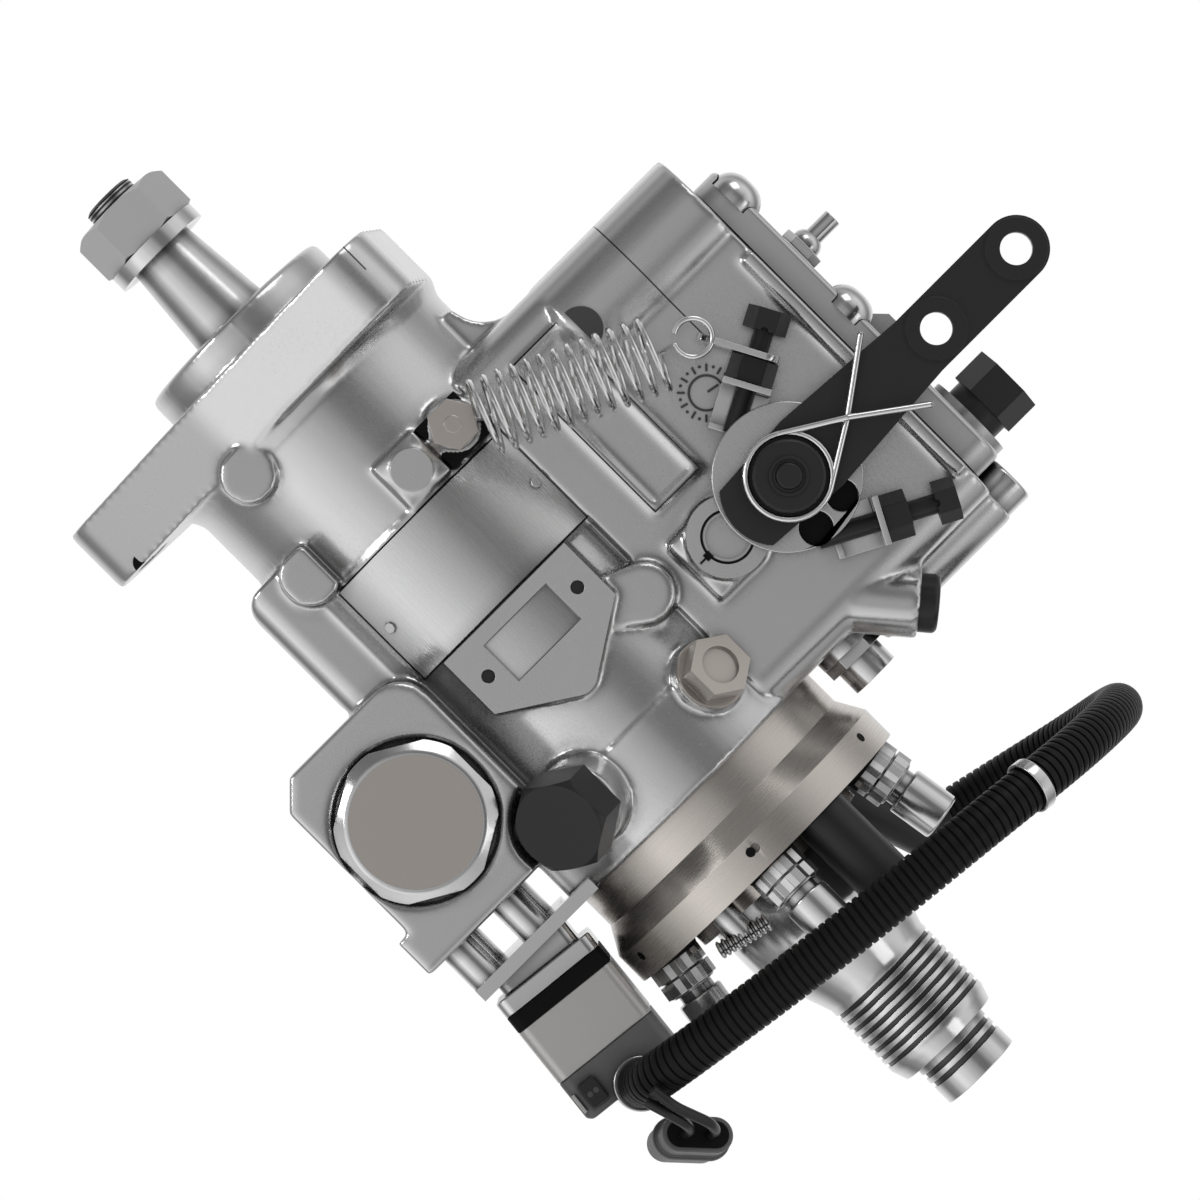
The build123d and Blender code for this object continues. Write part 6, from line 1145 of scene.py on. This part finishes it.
@dataclass
class BarrelSide:
    """The plate, the window cover, the pads and the bolts on the barrel's lever side."""

    barrel_radius: float = 41.0
    plate_start: float = 58.0
    plate_end: float = 87.7
    plate_half_angle: float = 41.5
    plate_screw_x: float = 73.0
    plate_screw_angle: float = 35.5
    window_screws: tuple[tuple[float, float], ...] = ((98.4, 14.3), (98.4, -16.4))
    window_axis: tuple[float, float, float] = (92.5, 20.35, -1.15)
    window_radius: float = 66.0
    window_length: float = 11.8
    window_angle: float = 18.4
    pad_centre: tuple[float, float] = (49.5, 6.0)
    bolt_centre: tuple[float, float] = (49.3, 20.9)
    bolt_face_y: float = -59.45
    # The corners of the black block painted as the shade of the bolt's square recess.
    seat: tuple[Point, Point] = ((43.0, -40.8, 13.3), (56.6, -36.0, 26.8))
    pad_disc_radius: float = 5.25
    ring_centre: tuple[float, float, float] = (115.6, -40.75, 49.0)
    ring_notch: tuple[tuple[Point, Point], ...] = (
        ((114.6, -41.35, 41.4), (116.6, -40.9, 43.2)),
        ((115.35, -41.35, 39.6), (115.85, -40.9, 41.6)),
    )

    def plate(self) -> None:
        """The curved plate with the dark line round it and its two drive screws."""
        dressed("side_plate", 0.15, "plate_metal")
        low, high = self.barrel_radius + 0.9, self.barrel_radius + 1.45
        length = self.plate_end - self.plate_start + 0.8
        place = facing((self.plate_start - 0.4, 0, 0), ALONG, LEVER_SIDE)
        outline = Shape().turned(
            ((0.0, low), (0.0, high), (length, high), (length, low)), place, 128,
            turn=2 * self.plate_half_angle + 1.1,
        )
        outline.piece("plate_edge_line", "housing", "black_rubber")
        screws = Shape()
        for side in (-1, 1):
            out = around(side * self.plate_screw_angle)
            head = Vector((self.plate_screw_x, 0, 0)) + out * (self.barrel_radius + 1.7)
            screws.rod(1.75, facing(head, out, ALONG), 1.2, tip=1.45, sides=8)
        screws.piece("drive_screws", "housing", "plated_steel", ["plate_screws"], edge=0.2)

    def window(self) -> None:
        """The pentagonal cover and its two dark screws."""
        dressed("timing_cover", 0.55, "cast_aluminium")
        place = facing(self.window_axis, ALONG, LEVER_SIDE)
        outer, inner, length = self.window_radius, self.window_radius - 2.0, self.window_length
        floor = Shape().turned(
            ((0.0, inner), (0.0, outer), (length, outer), (length, inner)), place, 256,
            turn=self.window_angle,
        )
        floor.piece("window_floor", "housing", "plate_metal")
        screws = Shape()
        for x, z in self.window_screws:
            screws.rod(1.66, facing((x, -44.9, z), LEVER_SIDE, ALONG), 0.75, sides=8)
        screws.piece("window_screws", "housing", "black_steel", edge=0.15)

    def square_pad(self) -> None:
        """The round disc on the square pad and the dark line round it."""
        x, z = self.pad_centre
        face = facing((x, -(self.barrel_radius + 1.9), z), LEVER_SIDE, ALONG)
        disc = Shape().rod(self.pad_disc_radius, face, 1.2)
        disc.piece("pad_disc", "housing", "cast_aluminium", edge=0.15)
        line = Shape().tube(self.pad_disc_radius + 0.4, self.pad_disc_radius - 0.15, face, 0.22)
        line.piece("pad_disc_line", "housing", "black_rubber")

    def anchor(self) -> None:
        """The tan hex bolt with the mark on its head, over a black block painted as the shade of
        its square recess.
        """
        dressed("anchor_bolt", 0.45, "warm_steel", 3)
        x, z = self.bolt_centre
        face = facing((x, self.bolt_face_y, z), LEVER_SIDE, ALONG)
        mark = Shape().rod(2.35, face, 0.18, tip=2.1, sides=8)
        mark.piece("bolt_mark", "housing", "warm_steel", edge=0.08)
        # Painted shade: black block for the square recess's shade.
        seat = Shape().block(*self.seat)
        seat.piece("anchor_recess_shade", "housing", "black_rubber", edge=0.2)

    def round_plugs(self) -> None:
        """The tan flanged bolt and the black hex plug at the rear."""
        dressed("side_bolt", 0.5, "warm_steel", 3)
        dressed("side_hex_plug", 0.9, "black_steel", 3)

    def snap_ring(self) -> None:
        """The round plug under the lever with its ring and the ring's notch."""
        seat = Vector(self.ring_centre) + LEVER_SIDE * 0.2
        place = facing(seat, LEVER_SIDE, -UP)
        Shape().tube(10.2, 6.75, place, 0.12).piece("plug_land", "housing", "cast_aluminium")
        dressed("snap_ring_plug", 0.0, "cast_aluminium")
        ring = Shape().tube(6.8, 6.1, facing(self.ring_centre, LEVER_SIDE), 0.3)
        for low, high in self.ring_notch:
            ring.block(low, high)
        ring.piece("snap_ring", "housing", "black_rubber")

    def build(self) -> None:
        """Makes the barrel's side."""
        self.plate()
        self.window()
        self.square_pad()
        self.anchor()
        self.round_plugs()
        self.snap_ring()


@dataclass
class Throttle:
    """The lever with its hub, its wire spring and the plate on its shaft."""

    pivot_x: float = 115.6
    pivot_z: float = 69.4
    ring_y: float = -61.6
    wire: float = 0.78
    ring_radius: float = 10.5
    start_turn: float = 30.0
    crossing: float = 20.0
    hook_height: float = 36.5
    hook_x: float = 12.0
    hub_face_y: float = -63.5
    hook_end_y: float = -57.0
    hole_y: float = -45.9
    holes: tuple[tuple[float, float, float], ...] = ((12.5, 6.3, 3.88), (13.7, -3.8, 4.18))

    def spring(self) -> None:
        """The wire round the hub with its two crossed arms hooked on the lever."""
        hub = facing((self.pivot_x, self.ring_y, self.pivot_z), LEVER_SIDE, ALONG)
        shape = Shape().coil(self.wire, self.ring_radius, hub, 1.0, 0.0, sides=14)
        for side in (-1, 1):
            arm_y = self.ring_y - (side + 1) * self.wire
            turn = math.radians(self.start_turn)
            start = (
                self.pivot_x - side * self.ring_radius * math.cos(turn), self.ring_y,
                self.pivot_z + self.ring_radius * math.sin(turn),
            )
            middle = (self.pivot_x, arm_y, self.pivot_z + self.crossing)
            end = (self.pivot_x + side * self.hook_x, arm_y, self.pivot_z + self.hook_height)
            back = (end[0], self.hook_end_y, end[2])
            for near, far in ((start, middle), (middle, end), (end, back)):
                shape.link(self.wire, near, far)
        shape.piece(
            "throttle_spring_look", body_of("throttle_spring"), "spring_steel", ["throttle_spring"]
        )

    def plate_holes(self) -> None:
        """Black discs behind the two holes in the plate, painted as the shade seen through them."""
        holes = Shape()
        for across, up, radius in self.holes:
            seat = (self.pivot_x + across, self.hole_y, self.pivot_z + up)
            holes.rod(radius, facing(seat, LEVER_SIDE), 0.6, sides=40)
        # Painted shade: black discs seen through the plate's holes.
        holes.piece("plate_hole_shades", body_of("throttle_plate"), "black_rubber")

    def hub(self) -> None:
        """The black hub with its raised centre."""
        dressed("throttle_shaft", 0.7, "black_steel", 3)
        place = facing((self.pivot_x, self.hub_face_y, self.pivot_z), LEVER_SIDE, ALONG)
        ring = Shape().tube(4.9, 4.1, place, 0.5)
        ring.piece("hub_ring", body_of("throttle_shaft"), "black_steel", edge=0.18)

    def build(self) -> None:
        """Makes the throttle."""
        dressed("throttle_lever", 0.6, "black_steel", 2)
        dressed("throttle_plate", 0.35, "plate_metal")
        self.plate_holes()
        self.hub()
        self.spring()


@dataclass
class Stops:
    """The two stop screws with their nuts, sheet brackets and the spring's strap."""

    def build(self) -> None:
        """Makes the stops."""
        dressed("stop_screws", 0.3, "black_steel")
        dressed("stop_lock_nuts", 0.5, "black_steel")
        dressed("stop_brackets", 0.35, "plated_steel", 3)
        dressed("spring_strap", 0.35, "plated_steel", 3)


@dataclass
class ReturnSpring:
    """The long return spring with its two hooks."""

    low: tuple[float, float] = (52.6, 26.2)
    high: tuple[float, float] = (72.2, 68.9)
    bolt: tuple[float, float] = (49.3, 20.9)
    strap: tuple[float, float] = (75.4, 77.0)
    reach: float = 52.5
    turns: int = 13
    radius: float = 9.4
    wire: float = 0.70
    bolt_hook: float = 5.2
    strap_hook: float = 4.7

    def hook(
        self, shape: Shape, centre: tuple[float, float], radius: float, coil_end: Vector
    ) -> None:
        """Adds an open ring of wire round a centre, with the link to an end of the coil.

        Args:
            shape: The spring under construction.
            centre: The ring's centre in x and z.
            radius: The ring's radius.
            coil_end: The end of the coil.
        """
        middle = Vector((centre[0], -self.reach, centre[1]))
        axis_end = Vector((coil_end.x, -self.reach, coil_end.z))
        inward = (axis_end - middle).normalized()
        foot = middle + inward * radius
        shape.coil(self.wire, radius, facing(middle, LEVER_SIDE, inward), 0.9, 0.0, sides=12)
        shape.link(self.wire, foot, coil_end)

    def build(self) -> None:
        """Winds the spring."""
        low = Vector((self.low[0], -self.reach, self.low[1]))
        high = Vector((self.high[0], -self.reach, self.high[1]))
        far = Vector((0.0, 1.0, 0.0))
        run = high - low
        shape = Shape().coil(
            self.wire, self.radius, facing(low, run, far), self.turns, run.length, 10
        )
        self.hook(shape, self.bolt, self.bolt_hook, low + far * self.radius)
        self.hook(shape, self.strap, self.strap_hook, high + far * self.radius)
        shape.piece(
            "return_spring_look", body_of("return_spring"), "spring_steel", ["return_spring"]
        )


@dataclass
class RearEnd:
    """The hydraulic head with its fittings, its two solenoids and the threaded inlet."""

    ring_end: float = 179.5
    circle: float = 34.0
    tilt: float = 9.0
    angles: tuple[float, ...] = (0.0, 90.0, 180.0, 270.0)
    seal_radius: float = 7.2
    seal_length: float = 2.5
    flats: float = 12.6
    hex_length: float = 4.4
    neck_radius: float = 4.8
    neck_length: float = 2.0
    rod_low: tuple[float, float, float] = (186.2, -31.0, -24.5)
    rod_high: tuple[float, float, float] = (190.0, -31.0, -8.6)
    rod_pitch: float = 1.45
    rod_rings: int = 10
    thread_start: float = 220.2
    thread_length: float = 19.0
    thread_root: float = 15.05
    stub_start: float = 245.2
    stub_length: float = 5.2
    stub_root: float = 10.3
    ring_radius: float = 43.3
    ring_holes_x: float = 174.0
    ring_holes_start: float = -2.0
    ring_holes_step: float = 61.5

    def fitting(self, shape: Shape, place: Matrix) -> None:
        """Adds one toothed double hex with its neck.

        Args:
            shape: The fittings under construction.
            place: The fitting's frame.
        """
        start = self.seal_length - 0.1
        for level in (0, 1):
            seat = place @ Matrix.Translation((0, 0, start + level * self.hex_length))
            for turn in (0.0, 30.0):
                share = turn / 30.0
                flats = self.flats + 0.02 * share
                shape.hexagon(flats, seat, self.hex_length - 0.5 - 0.01 * share, turn)
        collar = place @ Matrix.Translation((0, 0, start))
        shape.rod(6.0, collar, 2 * self.hex_length, sides=40)
        shape.rod(self.neck_radius, collar, 2 * self.hex_length + self.neck_length + 0.3, sides=40)

    def fittings(self) -> None:
        """The four toothed fittings with their dark seals, and the short rod between them."""
        fittings, seals = Shape(), Shape()
        lean = math.radians(self.tilt)
        for angle in self.angles:
            out = around(angle)
            start = Vector((self.ring_end - 1.0, 0, 0)) + out * self.circle
            run = ALONG * math.cos(lean) + out * math.sin(lean)
            place = facing(start, run, out)
            self.fitting(fittings, place)
            seals.turned(
                ((0.6, 0.0), (0.6, self.seal_radius), (1.4, self.seal_radius + 0.3),
                 (self.seal_length, self.seal_radius - 0.2), (self.seal_length, 0.0)), place, 40,
            )
        rod_foot = Vector((self.ring_end - 0.5, 0, 0)) + around(-30.0) * self.circle
        fittings.rod(3.6, facing(rod_foot, ALONG), 9.0, sides=32)
        fittings.piece(
            "discharge_fittings_look", "housing", "plated_steel", ["discharge_fittings"], edge=0.16
        )
        seals.piece("fitting_seals", "housing", "black_rubber", edge=0.3)

    def threaded_rod(self) -> None:
        """The small threaded rod that stands between the fittings and the inlet."""
        low, high = Vector(self.rod_low), Vector(self.rod_high)
        profile = [(0.0, 0.0)]
        for ring in range(self.rod_rings):
            start = ring * self.rod_pitch
            profile += [(start + 0.15, 1.7), (start + 0.5, 2.35), (start + 0.95, 2.35)]
            profile += [(start + 1.3, 1.7)]
        profile += [(self.rod_rings * self.rod_pitch, 0.0)]
        rod = Shape().turned(profile, facing(low, high - low), 32)
        rod.piece("threaded_rod", "housing", "plated_steel", angle=28.0)

    def ring_holes(self) -> None:
        """Black discs painted as the shade in the small holes round the head's ring."""
        holes = Shape()
        for hole in range(6):
            out = around(self.ring_holes_start + self.ring_holes_step * (hole - 2))
            seat = ALONG * self.ring_holes_x + out * self.ring_radius
            holes.rod(1.25, facing(seat, out), 0.36, sides=20)
        # Painted shade: black discs for the holes' shade.
        holes.piece("ring_hole_shades", "housing", "black_rubber")

    def thread_shades(self) -> None:
        """Dark sleeves painted as the shade in the bottoms of the inlet's thread and of the two
        grooves in its stub.
        """
        thread = facing((self.thread_start, 0, 0), ALONG)
        shades = Shape().tube(self.thread_root, 14.0, thread, self.thread_length)
        stub = facing((self.stub_start, 0, 0), ALONG)
        shades.tube(self.stub_root, 9.8, stub, self.stub_length)
        # Painted shade: dark sleeves for the grooves' shade.
        shades.piece("groove_shades", "housing", "dark_steel")

    def solenoids(self) -> None:
        """The two black solenoids, the near one with its pale end."""
        dressed("rear_solenoids", 0.6, "black_plastic", 3)
        place = Vector((202.3, 0, 0)) + around(30.0) * self.circle
        end = Shape().rod(6.3, facing(place, ALONG), 0.35, sides=48)
        end.piece("solenoid_end", "housing", "plated_steel", edge=0.12)

    def build(self) -> None:
        """Makes the rear end."""
        dressed("hydraulic_head", 0.3, "head_steel", angle=20.0)
        self.ring_holes()
        dressed("end_cap", 0.18, "plated_steel")
        self.thread_shades()
        dressed("discharge_sleeves", 0.7, "plated_steel", 3)
        self.fittings()
        self.threaded_rod()
        self.solenoids()


@dataclass
class AdvanceSide:
    """The advance plugs, the bracket and the actuator."""

    plug_x: float = 111.0
    plug_z: float = -53.8
    plug_face_y: float = -51.5
    face_radius: float = 16.3
    tilt: float = 6.3
    origin: tuple[float, float, float] = (154.0, -12.0, -57.8)

    def actuator_place(self, reach: float, near: float, up: float) -> Matrix:
        """A frame on the actuator with x along its length, y up and z towards the lever side.

        Args:
            reach: How far along its length.
            near: How far towards the lever side.
            up: How far up.

        Returns:
            The frame's matrix.
        """
        lean = math.radians(self.tilt)
        run = Vector((math.cos(lean), 0, -math.sin(lean)))
        rise = Vector((math.sin(lean), 0, math.cos(lean)))
        start = Vector(self.origin) + run * reach + rise * up + LEVER_SIDE * near
        return Matrix.Translation(start) @ Matrix((run, rise, LEVER_SIDE)).transposed().to_4x4()

    def actuator(self) -> None:
        """The actuator with the slot in its socket and the pale strip below it."""
        dressed("actuator_base", 0.5, "plated_steel")
        dressed("actuator_body", 0.4, "pale_plastic", 3)
        dressed("actuator_cap", 0.5, "grey_plastic", 3)
        dressed("actuator_socket", 0.4, "black_plastic")
        slot = Shape()
        for side in (-1, 1):
            slot.rod(0.75, self.actuator_place(36.0, 18.9, -9.0 + side * 0.9), 0.25, sides=20)
        slot.piece("socket_slot", "housing", "dark_steel")
        seat = self.actuator_place(33.6, 16.9, -14.0)
        strip = Shape().slab(((0, 0), (5.4, 0), (5.4, 0.9), (0, 0.9)), seat, 0.5)
        strip.piece("socket_strip", "housing", "pale_plastic", edge=0.1)

    def build(self) -> None:
        """Makes the advance side."""
        dressed("advance_plugs", 0.45, "plated_steel")
        place = facing((self.plug_x, self.plug_face_y + 0.05, self.plug_z), LEVER_SIDE, ALONG)
        face = Shape().rod(self.face_radius, place, 0.15, sides=96)
        face.piece("plug_face", "housing", "warm_steel")
        dressed("advance_piston", 0.3)
        dressed("advance_bracket", 0.5, "plated_steel")
        dressed("seals", 0.25, "black_rubber")
        self.actuator()


@dataclass
class DriveEnd:
    """The drive shaft with its dark thread, its nut and its washer."""

    thread_start: float = -54.0
    thread_radius: float = 7.06
    root_radius: float = 6.3
    grooves: int = 3
    pitch: float = 1.1

    def build(self) -> None:
        """Makes the drive end."""
        dressed("drive_shaft", 0.25, "ground_steel")
        profile = [(0.02, 0.0), (0.02, 6.1), (0.6, self.thread_radius)]
        for groove in range(self.grooves):
            start = 0.75 + groove * self.pitch
            profile += [(start, self.thread_radius), (start + 0.15, self.root_radius)]
            profile += [(start + 0.45, self.root_radius), (start + 0.6, self.thread_radius)]
        profile += [(4.2, self.thread_radius), (4.2, 0.0)]
        place = facing((self.thread_start, 0, 0), ALONG)
        thread = Shape().turned(profile, place, 64)
        thread.piece("shaft_thread", body_of("drive_shaft"), "black_steel", angle=28.0)
        dressed("shaft_nut", 0.5, "plated_steel", 3)


# The pieces inside the pump, and how wide their softened edges are.
INNER_EDGE = 0.3
INNER_PIECES = (
    "cam_ring", "drive_bearing", "transfer_liner", "regulator_piston", "rotor", "weight_cage",
    "thrust_sleeve", "governor_arm", "metering_valve",
)


def main() -> None:
    """Builds the scene in order."""
    logging.basicConfig(level=logging.INFO, format="%(message)s")
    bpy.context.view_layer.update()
    Studio().build()
    Harness().build()
    for node, finish in SLOT_OF.items():
        frame["nodes"][node].data.materials.clear()
        frame["nodes"][node].data.materials.append(FINISHES[finish].made())
    assemblies = (
        Casting(), GovernorSide(), GovernorTop(), BarrelSide(), Throttle(), Stops(), ReturnSpring(),
        RearEnd(), AdvanceSide(), DriveEnd(),
    )
    for assembly in assemblies:
        assembly.build()
    for node in INNER_PIECES:
        dressed(node, INNER_EDGE)


if __name__ == "__main__":
    main()
